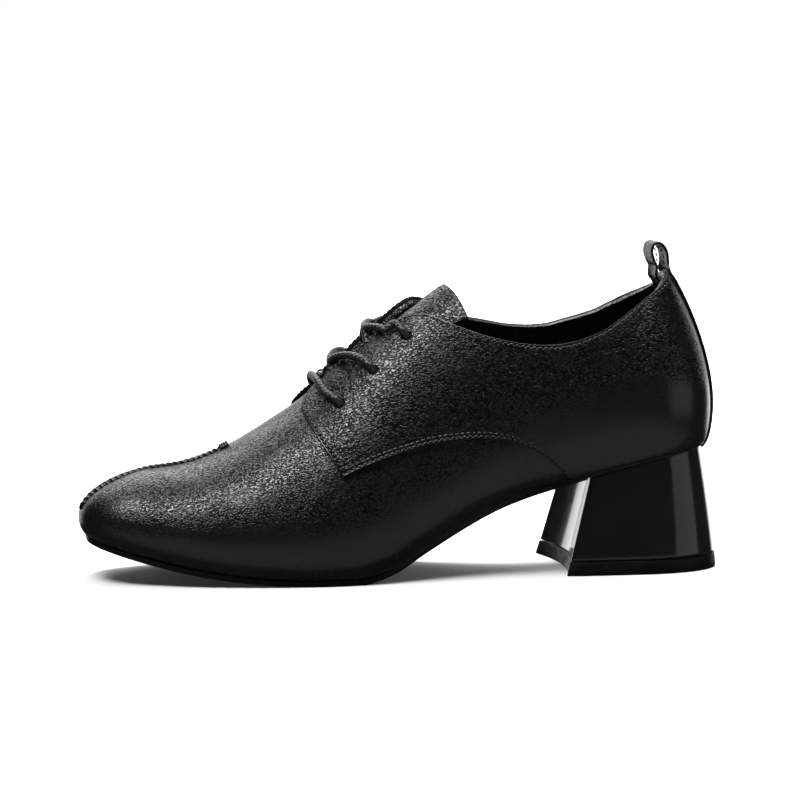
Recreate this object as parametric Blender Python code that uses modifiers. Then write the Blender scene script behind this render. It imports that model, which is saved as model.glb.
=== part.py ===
"""A black lace-up derby on a flared block heel, left shoe, in metres, +Z up.

The toe points to -X and the outer side of the foot to -Y. The origin is the centre of the
heel's face on the floor. Every piece of the upper is cut from one surface, the last, which
skin() gives for any place along the shoe and any height on its side.
"""
import math

import bmesh
import bpy
import numpy as np
from mathutils import Matrix, Vector

# Driving sizes
LENGTH = 0.2426        # the last, toe tip to the back of the heel curve
HALF_WIDTH = 0.0410    # half the width of the last at the ball
INSTEP_RISE = 0.0946   # ridge of the last over the feather line, at the top of the facings
HEEL_LIFT = 0.0359     # rise of the seat at the heel breast over the forepart
TOE_SPRING = 0.0155    # rise of the outsole's tip over the floor
SOLE = 0.0020          # outsole under the ball
WAIST_SOLE = 0.0015    # outsole under the arch
SOLE_PROUD = 0.0009    # outsole beyond the feather line
GAP = 0.0003           # between pieces that meet
WALL = 0.0018          # vamp with its lining
OVERLAY = 0.0010       # quarter leather over the vamp
OVERLAY_GAP = 0.0008   # under the quarters, whose flat facets need a little more room
STRAP = 0.0010         # back strap and pull loop
STRAP_GAP = 0.0004
STRAP_HALF = 0.0066    # half the width of the strap
MARGIN = 0.0070        # upper turned in under the foot
INSOLE = 0.0016
INSOLE_INSET = 0.0010
TONGUE = 0.0020
TONGUE_FLAT = 0.0011   # the tongue lies this much flatter than the last along its middle
TONGUE_GAP = 0.0009
TONGUE_FRONT_HALF = 0.0150
TONGUE_TOP_HALF = 0.0200
WAIST_INSET = 0.0020
HEEL_PROUD = 0.0010
LOOP_HEIGHT = 0.0095
STRAP_ACROSS = (-1.0, -0.5, 0.0, 0.5, 1.0)
STRAP_FOOT = 0.10
STRAP_TAIL = 0.10
THROAT_HALF = 0.0092   # half the gap between the facings at the middle eyelets
SEAM_HALF = 0.0016     # raised seam along the toe
SEAM_RISE = 0.0013
LACE = 0.0030
LACE_OVER = 0.0039     # height of the lace's middle over the last, on the facings
LACE_MIDDLE = 0.0018   # and where two runs cross between the facings
LACE_LOW = -0.0013     # and where a run ends under the facing's edge
LACE_CLEAR = 0.0021    # from that end to the edge
LACE_POINTS = 18
EYELET = 0.0044
EYELET_DEPTH = 0.0032  # the punch, to each side of the last
EYELETS_OUT = (0.0225, 0.0205, 0.0175)
TOP_PIECE = 0.0053
TOP_PIECE_PROUD = 0.0003
BREAST_FLARE = 0.0098  # heel's front corners, from the seat to the floor
SIDE_FLARE = 0.0048
BACK_FLARE = 0.0066
BREAST_HOLLOW = 0.0042

# Places along the shoe, as shares of LENGTH from the toe tip
ORIGIN_AT = 0.886
TOE_AXIS = 0.115
HEEL_AXIS = 0.878
BALL_FRONT = 0.350
BREAST_AT = 0.794
THROAT_AT = 0.383
THROAT_END = 0.537
FEATHER_FRONT = 0.0145
FEATHER_BACK = 0.985
EYELETS_AT = (0.401, 0.454, 0.508)
QUARTER_SEAM = 0.0020
TONGUE_FRONT = 0.362
TONGUE_TOP = 0.573
TONGUE_SLOPE = 0.029
TONGUE_FLAT_END = (0.52, 0.56)
FACING_FRONT = 0.386
SOLE_THINS = (0.45, 0.65)
SOLE_DRAWN_IN = (0.42, 0.54)
SEAM_NOSE = 1.10       # a level on the toe, not a place
SEAM_END = 0.235
CROSS_BACK = (0.026, 0.036, 0.052)   # of a run: before the edge, at it and at the middle
CROSS_TUCK = 0.006
BAR_BOW = 0.022

TOE_ROUND = 3.0
TOE_CURVE = 1.9
HEEL_CURVE = 1.25
SEAM_RAMP = 0.35
TOE_REACH = 0.247
HEEL_ROUND = 2.2
FEATHER_HEEL_ROUND = 2.4

# The last, section by section. Widths are shares of HALF_WIDTH, heights over the feather
# line shares of INSTEP_RISE, and round and crown the powers of the section's curve.
LAST_COLUMNS = ("at", "outer", "inner", "outer_feather", "inner_feather", "widest", "ridge",
                "round", "crown")
LAST = (
    (0.000, 0.756, 0.756, 0.670, 0.670, 0.060, 0.160, 2.00, 2.00),
    (0.095, 0.778, 0.793, 0.698, 0.712, 0.095, 0.315, 2.00, 2.00),
    (0.169, 0.854, 0.885, 0.776, 0.810, 0.108, 0.387, 2.00, 2.00),
    (0.235, 0.917, 0.956, 0.839, 0.883, 0.114, 0.478, 1.95, 2.00),
    (0.301, 0.966, 0.998, 0.888, 0.922, 0.118, 0.594, 1.85, 2.00),
    (0.363, 0.998, 0.988, 0.917, 0.898, 0.124, 0.709, 1.75, 2.00),
    (0.412, 0.990, 0.941, 0.893, 0.810, 0.140, 0.839, 1.70, 2.00),
    (0.462, 0.951, 0.883, 0.817, 0.698, 0.168, 0.943, 1.70, 2.00),
    (0.515, 0.893, 0.820, 0.695, 0.573, 0.190, 0.995, 1.70, 2.00),
    (0.577, 0.824, 0.763, 0.573, 0.476, 0.200, 1.011, 1.80, 2.00),
    (0.639, 0.776, 0.737, 0.500, 0.439, 0.203, 1.020, 1.90, 2.00),
    (0.701, 0.751, 0.727, 0.500, 0.463, 0.203, 1.010, 1.90, 2.00),
    (0.763, 0.741, 0.732, 0.549, 0.537, 0.200, 0.985, 1.70, 2.00),
    (0.824, 0.739, 0.737, 0.585, 0.583, 0.196, 0.945, 1.45, 1.90),
    (0.878, 0.737, 0.737, 0.590, 0.590, 0.190, 0.900, 1.20, 1.80),
)
TOE_TIP = {"widest": 0.060, "round": 1.25, "crown": 2.20}
HEEL_BACK = {"widest": 0.160, "ridge": 0.902, "round": 1.00, "crown": 1.72}

# Rise of the bottom over the floor behind the ball, as a share of HEEL_LIFT
LIFT = ((0.433, 0.000), (0.477, 0.081), (0.540, 0.295), (0.606, 0.529), (0.668, 0.727),
        (0.732, 0.875), (0.794, 1.000), (0.889, 1.159), (0.985, 1.284))

# Half the gap between the facings, as shares of THROAT_HALF, outer and inner side
THROAT = ((0.383, 0.00, 0.00), (0.388, 0.39, 0.39), (0.398, 0.61, 0.61), (0.416, 0.83, 0.83),
          (0.437, 0.94, 0.92), (0.462, 1.00, 0.92), (0.495, 1.12, 0.80), (0.511, 1.22, 0.74),
          (0.524, 1.36, 0.75), (0.537, 1.58, 0.93))

# Height of the collar over the feather line, as shares of INSTEP_RISE, outer and inner side
COLLAR = ((0.537, 0.917, 0.962), (0.554, 0.882, 0.933), (0.577, 0.827, 0.871),
          (0.601, 0.768, 0.812), (0.624, 0.718, 0.764), (0.648, 0.675, 0.722),
          (0.672, 0.640, 0.684), (0.696, 0.612, 0.650), (0.720, 0.593, 0.624),
          (0.744, 0.581, 0.603), (0.775, 0.585, 0.588), (0.808, 0.600, 0.588),
          (0.839, 0.640, 0.592), (0.870, 0.679, 0.613), (0.900, 0.698, 0.630),
          (0.950, 0.699, 0.656), (1.000, 0.698, 0.698))

# Lower edge of the quarter over the feather line, as shares of INSTEP_RISE
QUARTER_LOW = ((0.394, 0.405), (0.437, 0.450), (0.474, 0.459), (0.511, 0.444), (0.548, 0.415),
               (0.585, 0.375), (0.622, 0.328), (0.661, 0.266), (0.697, 0.195), (0.728, 0.118),
               (0.750, 0.051), (0.765, 0.012), (0.780, 0.012))

# Front edge of the quarter, from its lower corner up to the facing
QUARTER_FRONT = ((0.00, 0.394), (0.25, 0.367), (0.50, 0.352), (0.70, 0.346), (0.85, 0.353),
                 (0.95, 0.365), (1.00, 0.380))

# Inner face of the pull loop from the top of the strap: along and up as shares of
# LOOP_HEIGHT, and how far the row still follows the bow of the heel curve
LOOP = ((-0.06, 0.25, 0.50), (-0.12, 0.52, 0.15), (-0.22, 0.80, 0.00), (-0.48, 1.00, 0.00),
        (-0.63, 0.94, 0.00), (-0.68, 0.70, 0.00), (-0.58, 0.36, 0.10), (-0.42, 0.10, 0.45))

# How a lace leaves its eyelet: forward as a share of LENGTH, in towards the middle as a
# share of THROAT_HALF, and height over the last as a share of LACE_OVER
LACE_START = ((0.000, 0.00, -0.26), (0.000, 0.00, 0.44), (0.002, 0.08, 0.80),
              (0.006, 0.26, 1.00), (0.012, 0.52, 1.00))

# The lowest run beyond that: forward, and out from the middle in the same shares
LACE_BAR = ((0.017, 1.36), (0.020, 0.82))


def smooth(rows, at, column=1):
    """A smooth curve through one column of a table, with no overshoot between its rows."""
    xs = np.array([row[0] for row in rows])
    ys = np.array([row[column] for row in rows])
    step = np.diff(xs)
    slope = np.diff(ys) / step
    lean = np.concatenate(([slope[0]], np.zeros(len(xs) - 2), [slope[-1]]))
    same = slope[:-1] * slope[1:] > 0
    mean = 2 * slope[:-1] * slope[1:] / np.where(same, slope[:-1] + slope[1:], 1)
    lean[1:-1] = np.where(same, mean, 0)
    at = np.clip(np.asarray(at, float), xs[0], xs[-1])
    i = np.clip(np.searchsorted(xs, at) - 1, 0, len(step) - 1)
    t = (at - xs[i]) / step[i]
    rise = ys[i] * (2 * t**3 - 3 * t**2 + 1) + ys[i + 1] * (3 * t**2 - 2 * t**3)
    return rise + step[i] * (lean[i] * (t**3 - 2 * t**2 + t) + lean[i + 1] * (t**3 - t**2))


def ease(at, span):
    """0 before the span and 1 after it, with a soft change between."""
    t = np.clip((at - span[0]) / (span[1] - span[0]), 0, 1)
    return t * t * (3 - 2 * t)


def last_column(name, at):
    return smooth(LAST, at, LAST_COLUMNS.index(name))


def to_x(at):
    """World X of a place along the shoe."""
    return (at - ORIGIN_AT) * LENGTH


def sole_depth(at):
    """Thickness of the outsole, thinner under the arch."""
    return SOLE + (WAIST_SOLE - SOLE) * ease(at, SOLE_THINS)


def tread_height(at):
    """Height of the outsole's underside over the floor: toe spring, flat ball and arch."""
    spring = np.clip((BALL_FRONT - at) / BALL_FRONT, 0, 1)**TOE_CURVE
    return TOE_SPRING * spring + HEEL_LIFT * smooth(LIFT, at)


def feather_height(at):
    """Height of the line where the upper meets the sole."""
    return tread_height(at) + sole_depth(at) + GAP


def half_width(at, side, feather=False):
    """Half the width of the last, or of its feather line, with the round toe and heel."""
    name = ("outer" if side < 0 else "inner") + ("_feather" if feather else "")
    front = FEATHER_FRONT if feather else 0.0
    back = FEATHER_BACK if feather else 1.0
    power = FEATHER_HEEL_ROUND if feather else HEEL_ROUND
    toe = np.clip((TOE_REACH - at) / (TOE_REACH - front), 0, 1)
    heel = np.clip((at - HEEL_AXIS) / (back - HEEL_AXIS), 0, 1)
    ends = (1 - toe**TOE_ROUND)**(1 / TOE_ROUND) * (1 - heel**power)**(1 / power)
    return HALF_WIDTH * last_column(name, at) * ends


def spine(at):
    """Axis place and direction of the section at a place: fans round the toe and heel."""
    axis = np.clip(at, TOE_AXIS, HEEL_AXIS)
    toe = np.clip((TOE_AXIS - at) / TOE_AXIS, 0, 1) * math.pi / 2
    heel = np.clip((at - HEEL_AXIS) / (1 - HEEL_AXIS), 0, 1) * math.pi / 2
    along = np.sin(heel) - np.sin(toe)
    across = np.where(at < HEEL_AXIS, np.cos(toe), np.cos(heel))
    return axis, along, across


def reach(at, side, feather=False):
    """How far the outline lies from the spine in the section at a place."""
    axis, along, across = spine(at)
    low = np.zeros_like(axis)
    high = np.full_like(axis, 1.5 * HALF_WIDTH)
    for _ in range(40):
        middle = (low + high) / 2
        place = np.clip(axis + middle * along / LENGTH, 0, 1)
        inside = middle * across < half_width(place, side, feather) - 1e-9
        inside &= (axis + middle * along / LENGTH > (FEATHER_FRONT if feather else 0))
        inside &= (axis + middle * along / LENGTH < (FEATHER_BACK if feather else 1))
        low = np.where(inside, middle, low)
        high = np.where(inside, high, middle)
    return low


def section(at, side):
    """Sizes of the sections at the places given: reaches, heights and powers."""
    at = np.asarray(at, float)
    axis, along, across = spine(at)
    toe = np.where(at < TOE_AXIS, 1 - across**2, 0)
    heel = np.where(at > HEEL_AXIS, 1 - across**2, 0)
    wide = reach(at, side)
    foot = reach(at, side, True)
    low = feather_height(np.clip(axis + foot * along / LENGTH, 0, 1))
    sizes = {"axis": axis, "along": along, "across": across * side, "wide": wide,
             "foot": foot, "low": low}
    for name in ("widest", "ridge", "round", "crown"):
        value = last_column(name, axis)
        value = value + toe * (TOE_TIP.get(name, value) - value)
        sizes[name] = value + heel * (HEEL_BACK.get(name, value) - value)
    base = np.where(at < TOE_AXIS, feather_height(axis), low)
    sizes["widest"] = low + sizes["widest"] * INSTEP_RISE
    sizes["ridge"] = base + sizes["ridge"] * INSTEP_RISE
    return sizes


def place(sizes, level):
    """A point of each section. Level 0 is the feather line, 1 the widest line, 2 the ridge,
    and below 0 the upper runs in under the foot."""
    level = np.asarray(level, float)
    low = np.clip(level, 0, 1) * math.pi / 2
    high = np.clip(level - 1, 0, 1) * math.pi / 2
    lower_out = sizes["foot"] + (sizes["wide"] - sizes["foot"]) * np.sin(low)
    upper_out = sizes["wide"] * np.maximum(np.cos(high), 0)**(2 / sizes["round"])
    out = np.where(level > 1, upper_out, lower_out) + np.minimum(level, 0) * MARGIN
    lower_z = sizes["widest"] - (sizes["widest"] - sizes["low"]) * np.cos(low)
    upper_z = sizes["widest"] + (sizes["ridge"] - sizes["widest"]) * np.sin(high)**(2 / sizes["crown"])
    z = np.where(level > 1, upper_z, lower_z)
    at = sizes["axis"] + out * sizes["along"] / LENGTH
    z = np.where(level < 0, feather_height(at), z)
    return np.stack([to_x(at), out * sizes["across"], z], -1)


def skin(at, level, side, lift=0.0):
    """Points of the last, moved out along its normal by lift."""
    at, level = np.broadcast_arrays(np.asarray(at, float), np.asarray(level, float))
    at = np.where((level >= 1.999) & (at < TOE_AXIS), TOE_AXIS, at)
    point = place(section(at, side), level)
    if np.all(np.asarray(lift) == 0):
        return point
    small = 0.0006
    back = np.clip(at - small, 0, 1)
    ahead = np.clip(at + small, 0, 1)
    under = np.clip(level - small, -1, 1.998)
    over = np.clip(level + small, -1, 1.999)
    run = place(section(ahead, side), np.minimum(level, 1.99)) \
        - place(section(back, side), np.minimum(level, 1.99))
    rise = place(section(at, side), over) - place(section(at, side), under)
    normal = np.cross(run, rise) * -side
    normal[level >= 1.999, 1] = 0
    normal[(at <= 0) | (at >= 1), 1] = 0
    normal /= np.linalg.norm(normal, axis=-1, keepdims=True)
    return point + normal * np.broadcast_to(lift, at.shape)[..., None]


def level_of_height(at, side, height):
    """The level at which the last's side reaches a height."""
    sizes = section(at, side)
    low = np.clip((sizes["widest"] - height) / (sizes["widest"] - sizes["low"]), 0, 1)
    high = np.clip((height - sizes["widest"]) / (sizes["ridge"] - sizes["widest"]), 0, 1)
    high = np.arcsin(high**(sizes["crown"] / 2))
    return np.where(height < sizes["widest"], np.arccos(low), high + math.pi / 2) / (math.pi / 2)


def level_of_width(at, side, width):
    """The level at which the last's top is a given way out from the middle."""
    sizes = section(at, side)
    share = np.clip(width / sizes["wide"], 0, 1)**(sizes["round"] / 2)
    return 1 + np.arccos(share) / (math.pi / 2)


def top_level(at, side):
    """The level of the upper's top edge: ridge, then throat, then collar."""
    at = np.asarray(at, float)
    column = 1 if side < 0 else 2
    throat = level_of_width(at, side, THROAT_HALF * smooth(THROAT, at, column))
    height = section(at, side)["low"] + INSTEP_RISE * smooth(COLLAR, at, column)
    collar = level_of_height(at, side, height)
    return np.where(at <= THROAT_AT, 2.0, np.where(at < THROAT_END, throat, collar))


def low_level(at, side):
    """The level of the quarter's lower edge."""
    height = section(at, side)["low"] + INSTEP_RISE * smooth(QUARTER_LOW, at)
    return level_of_height(at, side, height)


# Stations along the upper, closer together round the toe, the throat and the heel
STATIONS = np.concatenate([
    np.linspace(0, TOE_AXIS, 7),
    np.linspace(TOE_AXIS, THROAT_AT, 8)[1:],
    [row[0] for row in THROAT][1:],
    np.linspace(THROAT_END, HEEL_AXIS, 12)[1:],
    np.linspace(HEEL_AXIS, 1, 7)[1:],
])


def collection(name):
    made = bpy.data.collections.new(name)
    bpy.context.scene.collection.children.link(made)
    return made


def material(name, colour, roughness):
    made = bpy.data.materials.new(name)
    made.use_nodes = True
    shader = made.node_tree.nodes["Principled BSDF"]
    shader.inputs["Base Color"].default_value = (*colour, 1)
    shader.inputs["Roughness"].default_value = roughness
    return made


def add_object(name, mesh, look):
    """A named object of the shoe, shaded smooth up to sharp edges."""
    made = bpy.data.objects.new(name, mesh)
    parts.objects.link(made)
    mesh.materials.clear()
    mesh.materials.append(look)
    mesh.shade_smooth()
    mesh.set_sharp_from_angle(angle=math.radians(40))
    return made


def sheet(name, grids, look):
    """One open sheet from grids of points, welded where they share an edge."""
    net = bmesh.new()
    for side, grid in grids:
        rows = [[net.verts.new(point) for point in row] for row in grid]
        for near, far in zip(rows, rows[1:]):
            for j in range(len(near) - 1):
                corners = (near[j], far[j], far[j + 1], near[j + 1])
                net.faces.new(corners if side < 0 else corners[::-1])
    bmesh.ops.remove_doubles(net, verts=net.verts, dist=0.00002)
    bmesh.ops.dissolve_degenerate(net, edges=net.edges, dist=0.00002)
    mesh = bpy.data.meshes.new(name)
    net.to_mesh(mesh)
    net.free()
    return add_object(name, mesh, look)


def thicken(made, thickness, offset):
    solid = made.modifiers.new("wall", "SOLIDIFY")
    solid.thickness = thickness
    solid.offset = offset
    solid.use_even_offset = False
    return made


def loft(name, rings, look):
    """A closed solid through rings of points, capped at both ends."""
    net = bmesh.new()
    rows = [[net.verts.new(point) for point in ring] for ring in rings]
    for near, far in zip(rows, rows[1:]):
        for j in range(len(near)):
            k = (j + 1) % len(near)
            net.faces.new((near[j], near[k], far[k], far[j]))
    net.faces.new(rows[0][::-1])
    net.faces.new(rows[-1])
    bmesh.ops.recalc_face_normals(net, faces=net.faces)
    mesh = bpy.data.meshes.new(name)
    net.to_mesh(mesh)
    net.free()
    return add_object(name, mesh, look)


def upper():
    """One hollow shell on the last, open at throat and collar and underneath."""
    grids = []
    share = np.concatenate([[-1.0], np.linspace(0, 1, 4), np.linspace(1, 2, 8)[1:]])
    for side in (-1, 1):
        top = top_level(STATIONS, side)[:, None]
        level = np.where(share > 1, 1 + (share - 1) * (top - 1), share)
        at = np.broadcast_to(STATIONS[:, None], level.shape)
        grids.append((side, skin(at, level, side)))
    return thicken(sheet("upper", grids, leather), WALL, -1)


def quarter(name, side):
    """Quarter and facing, laid over the vamp, from its front edge to the back seam."""
    up = np.linspace(0, 1, 14)
    front = smooth(QUARTER_FRONT, up)
    back = 1 - QUARTER_SEAM
    along = np.concatenate([np.linspace(0, 0.30, 11), np.linspace(0.30, 0.80, 9)[1:],
                            np.linspace(0.80, 1, 7)[1:]])[:, None]
    at = front + along * (back - front)
    top = top_level(np.maximum(at, FACING_FRONT), side)
    low = low_level(at, side)
    level = low + up * (top - low)
    made = sheet(name, [(side, skin(at, level, side, OVERLAY_GAP))], leather)
    return thicken(made, OVERLAY, 1)


def tongue():
    """The tongue, under the facings and on past them, following the last."""
    along = np.linspace(0, 1, 13)[:, None]
    grids = []
    for side in (-1, 1):
        across = np.linspace(1, 0, 6)
        width = across * (TONGUE_FRONT_HALF + (TONGUE_TOP_HALF - TONGUE_FRONT_HALF) * along)
        top = TONGUE_TOP + TONGUE_SLOPE * across**1.5
        at = TONGUE_FRONT + along * (top - TONGUE_FRONT)
        level = level_of_width(at, side, width)
        middle = 1 - np.clip(width / TONGUE_FRONT_HALF, 0, 1)**2
        flat = TONGUE_FLAT * middle * (1 - ease(at, TONGUE_FLAT_END))
        grids.append((side, skin(at, level, side, -(WALL + TONGUE_GAP + flat))))
    return thicken(sheet("tongue", grids, leather), TONGUE, -1)


def plate(name, places, outline, low, high, look):
    """A flat piece that follows the bottom of the foot."""
    rings = []
    for at in places:
        x = to_x(at)
        outer = -outline(at, -1)
        inner = outline(at, 1)
        rings.append([(x, outer, low(at)), (x, 0, low(at)), (x, inner, low(at)),
                      (x, inner, high(at)), (x, 0, high(at)), (x, outer, high(at))])
    return loft(name, rings, look)


def feather_outline(at, side, proud):
    """Half width of a piece that runs a given way beyond the feather line."""
    middle = TOE_REACH if at < 0.5 else HEEL_AXIS
    end = FEATHER_FRONT if at < 0.5 else FEATHER_BACK
    grown = abs(middle - end) + proud / LENGTH
    inside = middle + (at - middle) * abs(middle - end) / grown
    beyond = (at - middle) * (end - middle) > 0
    return half_width(inside if beyond else at, side, True) + proud


def outsole():
    """The outsole, from the toe to the heel breast, drawn in under the arch."""
    def proud(at):
        return SOLE_PROUD - (SOLE_PROUD + WAIST_INSET) * ease(at, SOLE_DRAWN_IN)
    front = FEATHER_FRONT - SOLE_PROUD / LENGTH
    toe = [front + 0.1 * (k / 9)**2 + 0.0002 for k in range(10)]
    ball = np.linspace(toe[-1], BALL_FRONT, 8)[1:]
    flat = np.linspace(BALL_FRONT, LIFT[0][0], 3)[1:]
    arch = np.linspace(LIFT[0][0], BREAST_AT - GAP / LENGTH, 14)[1:]
    return plate("outsole", [*toe, *ball, *flat, *arch],
                 lambda at, side: float(feather_outline(at, side, proud(at))),
                 lambda at: float(tread_height(at)),
                 lambda at: float(tread_height(at) + sole_depth(at)), sole_leather)


def insole():
    front = FEATHER_FRONT + INSOLE_INSET / LENGTH
    back = FEATHER_BACK - INSOLE_INSET / LENGTH
    toe = [front + 0.1 * (k / 8)**2 + 0.0003 for k in range(9)]
    heel = [back - 0.1 * (k / 8)**2 - 0.0003 for k in range(9)][::-1]
    middle = np.linspace(toe[-1], heel[0], 20)[1:-1]
    base = WALL + 2 * GAP
    return plate("insole", [*toe, *middle, *heel],
                 lambda at, side: float(feather_outline(at, side, -INSOLE_INSET)),
                 lambda at: float(feather_height(at) + base),
                 lambda at: float(feather_height(at) + base + INSOLE), lining)


def heel_rings():
    """Points of the heel's outline at the seat and at the floor, in the same order."""
    back = FEATHER_BACK + HEEL_PROUD / LENGTH
    places = np.concatenate([np.linspace(BREAST_AT, HEEL_AXIS, 4),
                             HEEL_AXIS + (back - HEEL_AXIS) * np.sin(np.linspace(0, 90, 8)[1:]
                                                                     * math.pi / 180)])
    half = np.array([float(feather_outline(min(at, back - 1e-6), 1, HEEL_PROUD))
                     for at in places])
    half[-1] = 0
    seat = [(to_x(at), y) for at, y in zip(places, half)]
    front = to_x(BREAST_AT)
    rear = to_x(back)
    deep = (rear + BACK_FLARE - front + BREAST_FLARE) / (rear - front)
    wide = (half[0] + SIDE_FLARE) / half[0]
    floor = [(front - BREAST_FLARE + (x - front) * deep, y * wide) for x, y in seat]
    rings = []
    for outline in (seat, floor):
        breast = [(outline[0][0] + BREAST_HOLLOW * (1 - t * t), -outline[0][1] * t)
                  for t in np.linspace(-1, 1, 7)[1:-1]]
        inner = outline[:-1]
        outer = [(x, -y) for x, y in outline[:-1]][::-1]
        rings.append([*inner, outline[-1], *outer, *breast[::-1]])
    return np.array(rings[0]), np.array(rings[1])


def heel_ring(height=None, share=None, proud=0.0):
    """The heel's outline at one height, or at one share of the way up to the seat."""
    seat, floor = heel_rings()
    top = feather_height(seat[:, 0] / LENGTH + ORIGIN_AT) - GAP
    up = height / top if share is None else low_share() + share * (1 - low_share())
    up = np.broadcast_to(up, top.shape)
    bulge = np.where(seat[:, 0] > to_x(HEEL_AXIS), up**HEEL_CURVE, up)
    flat = floor + (seat - floor) * bulge[:, None]
    grow = 1 + proud / HALF_WIDTH
    return [(x * grow, y * grow, z) for (x, y), z in zip(flat, up * top)]


def low_share():
    seat, floor = heel_rings()
    top = feather_height(seat[:, 0] / LENGTH + ORIGIN_AT) - GAP
    return (TOP_PIECE + GAP) / top


def heel_block():
    rings = [heel_ring(share=share) for share in np.linspace(0, 1, 6)]
    return loft("heel_block", rings, heel_plastic)


def top_piece():
    rings = [heel_ring(height=0.0, proud=TOP_PIECE_PROUD),
             heel_ring(height=TOP_PIECE, proud=TOP_PIECE_PROUD)]
    return loft("top_piece", rings, sole_rubber)


def middle_frame(at, level):
    """Point and outward normal of the last along its middle line."""
    point = skin(at, level, -1)
    out = skin(at, level, -1, 0.001)
    normal = (out - point) * 1000
    point[:, 1] = 0
    return point, normal


def toe_seam():
    """The raised seam, from the nose of the toe back along the middle of the vamp."""
    nose = np.linspace(SEAM_NOSE, 2, 16)
    crown = np.linspace(TOE_AXIS, SEAM_END, 9)[1:]
    at = np.concatenate([0 * nose, crown])
    level = np.concatenate([nose, 0 * crown + 2])
    point, normal = middle_frame(at, level)
    shape = ((-1, 0.0), (1, 0.0), (1, 0.25), (0.5, 0.85), (0, 1.0), (-0.5, 0.85), (-1, 0.25))
    rings = []
    for i, (p, n) in enumerate(zip(point, normal)):
        low = min(1, SEAM_RAMP * (1 + i), SEAM_RAMP * (len(at) - i))
        rings.append([p + n * (GAP + rise * SEAM_RISE * low)
                      + np.array([0, out * SEAM_HALF, 0]) for out, rise in shape])
    return loft("toe_seam", rings, leather)


def strap_rows(levels, lift):
    """Rows of points across the back strap where it lies on the heel curve."""
    rows = []
    for level in levels:
        middle = place(section(np.array([1.0]), -1), np.array([level]))[0]
        far_out = middle[0] - to_x(HEEL_AXIS)
        row = []
        for share in STRAP_ACROSS:
            turn = math.asin(abs(share) * STRAP_HALF / far_out) / (math.pi / 2)
            at = 1 - (1 - HEEL_AXIS) * turn
            side = -1 if share < 0 else 1
            row.append(skin(np.array([at]), np.array([level]), side, lift)[0])
        rows.append(row)
    return rows


def back_strap():
    """The strap: up the back seam, over in a pull loop and down inside the collar."""
    top = float(top_level(1.0, -1))
    outside = strap_rows(np.linspace(STRAP_FOOT, top, 11), OVERLAY_GAP + OVERLAY + STRAP_GAP)
    inside = strap_rows(np.linspace(top, top - STRAP_TAIL, 4), -(WALL + 2 * GAP))
    start = outside[-1]
    loop = []
    for along, rise, follow in LOOP:
        row = []
        for j in range(len(STRAP_ACROSS)):
            bow = (start[j][0] - start[2][0]) * follow
            row.append((start[2][0] + along * LOOP_HEIGHT + bow, STRAP_ACROSS[j] * STRAP_HALF,
                        start[2][2] + rise * LOOP_HEIGHT + bow * 0.5))
        loop.append(row)
    rows = np.array([*outside, *loop, *inside])
    made = sheet("back_strap", [(1, rows)], leather)
    return thicken(made, STRAP, 1)


def lace_point(at, out, lift):
    """A point over the last, out from the middle to the inner side if out is positive."""
    side = -1 if out < 0 else 1
    at = np.array([at])
    return skin(at, level_of_width(at, side, abs(out)), side, lift)[0]


def tube(points):
    """A lace through points, as a mesh with closed ends."""
    points = np.array(points)
    step = np.concatenate([[0], np.cumsum(np.linalg.norm(np.diff(points, axis=0), axis=1))])
    run = np.linspace(0, step[-1], LACE_POINTS)
    route = [[float(v) for v in smooth(list(zip(step, points[:, axis])), run)]
             for axis in range(3)]
    curve = bpy.data.curves.new("lace", "CURVE")
    curve.dimensions = "3D"
    curve.bevel_depth = LACE / 2
    curve.bevel_resolution = 2
    curve.use_fill_caps = True
    spline = curve.splines.new("POLY")
    spline.points.add(LACE_POINTS - 1)
    for k in range(LACE_POINTS):
        spline.points[k].co = (route[0][k], route[1][k], route[2][k], 1)
    made = bpy.data.objects.new("lace", curve)
    parts.objects.link(made)
    graph = bpy.context.evaluated_depsgraph_get()
    mesh = bpy.data.meshes.new_from_object(made.evaluated_get(graph))
    bpy.data.objects.remove(made)
    net = bmesh.new()
    net.from_mesh(mesh)
    bmesh.ops.remove_doubles(net, verts=net.verts, dist=0.00001)
    bmesh.ops.recalc_face_normals(net, faces=net.faces)
    net.to_mesh(mesh)
    net.free()
    return mesh


def facing_edge(at, side):
    return THROAT_HALF * float(smooth(THROAT, at, 1 if side < 0 else 2))


def lace_start(at, out):
    """How a lace comes out of its eyelet and turns on to the facing."""
    return [(at - forward, out - THROAT_HALF * inward, LACE_OVER * rise)
            for forward, inward, rise in LACE_START]


def lace_bar():
    """The lowest run of the lace, straight across between the first eyelets."""
    at = EYELETS_AT[0]
    out = EYELETS_OUT[0]
    half = [*lace_start(at, out), *[(at - forward, THROAT_HALF * wide, LACE_OVER)
                                    for forward, wide in LACE_BAR]]
    outer = [lace_point(a, -o, lift) for a, o, lift in half]
    inner = [lace_point(a, o, lift) for a, o, lift in half]
    middle = [lace_point(at - BAR_BOW, 0, LACE_OVER)]
    return add_object("lace_bar", tube([*outer, *middle, *inner[::-1]]), lace_cotton)


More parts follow.
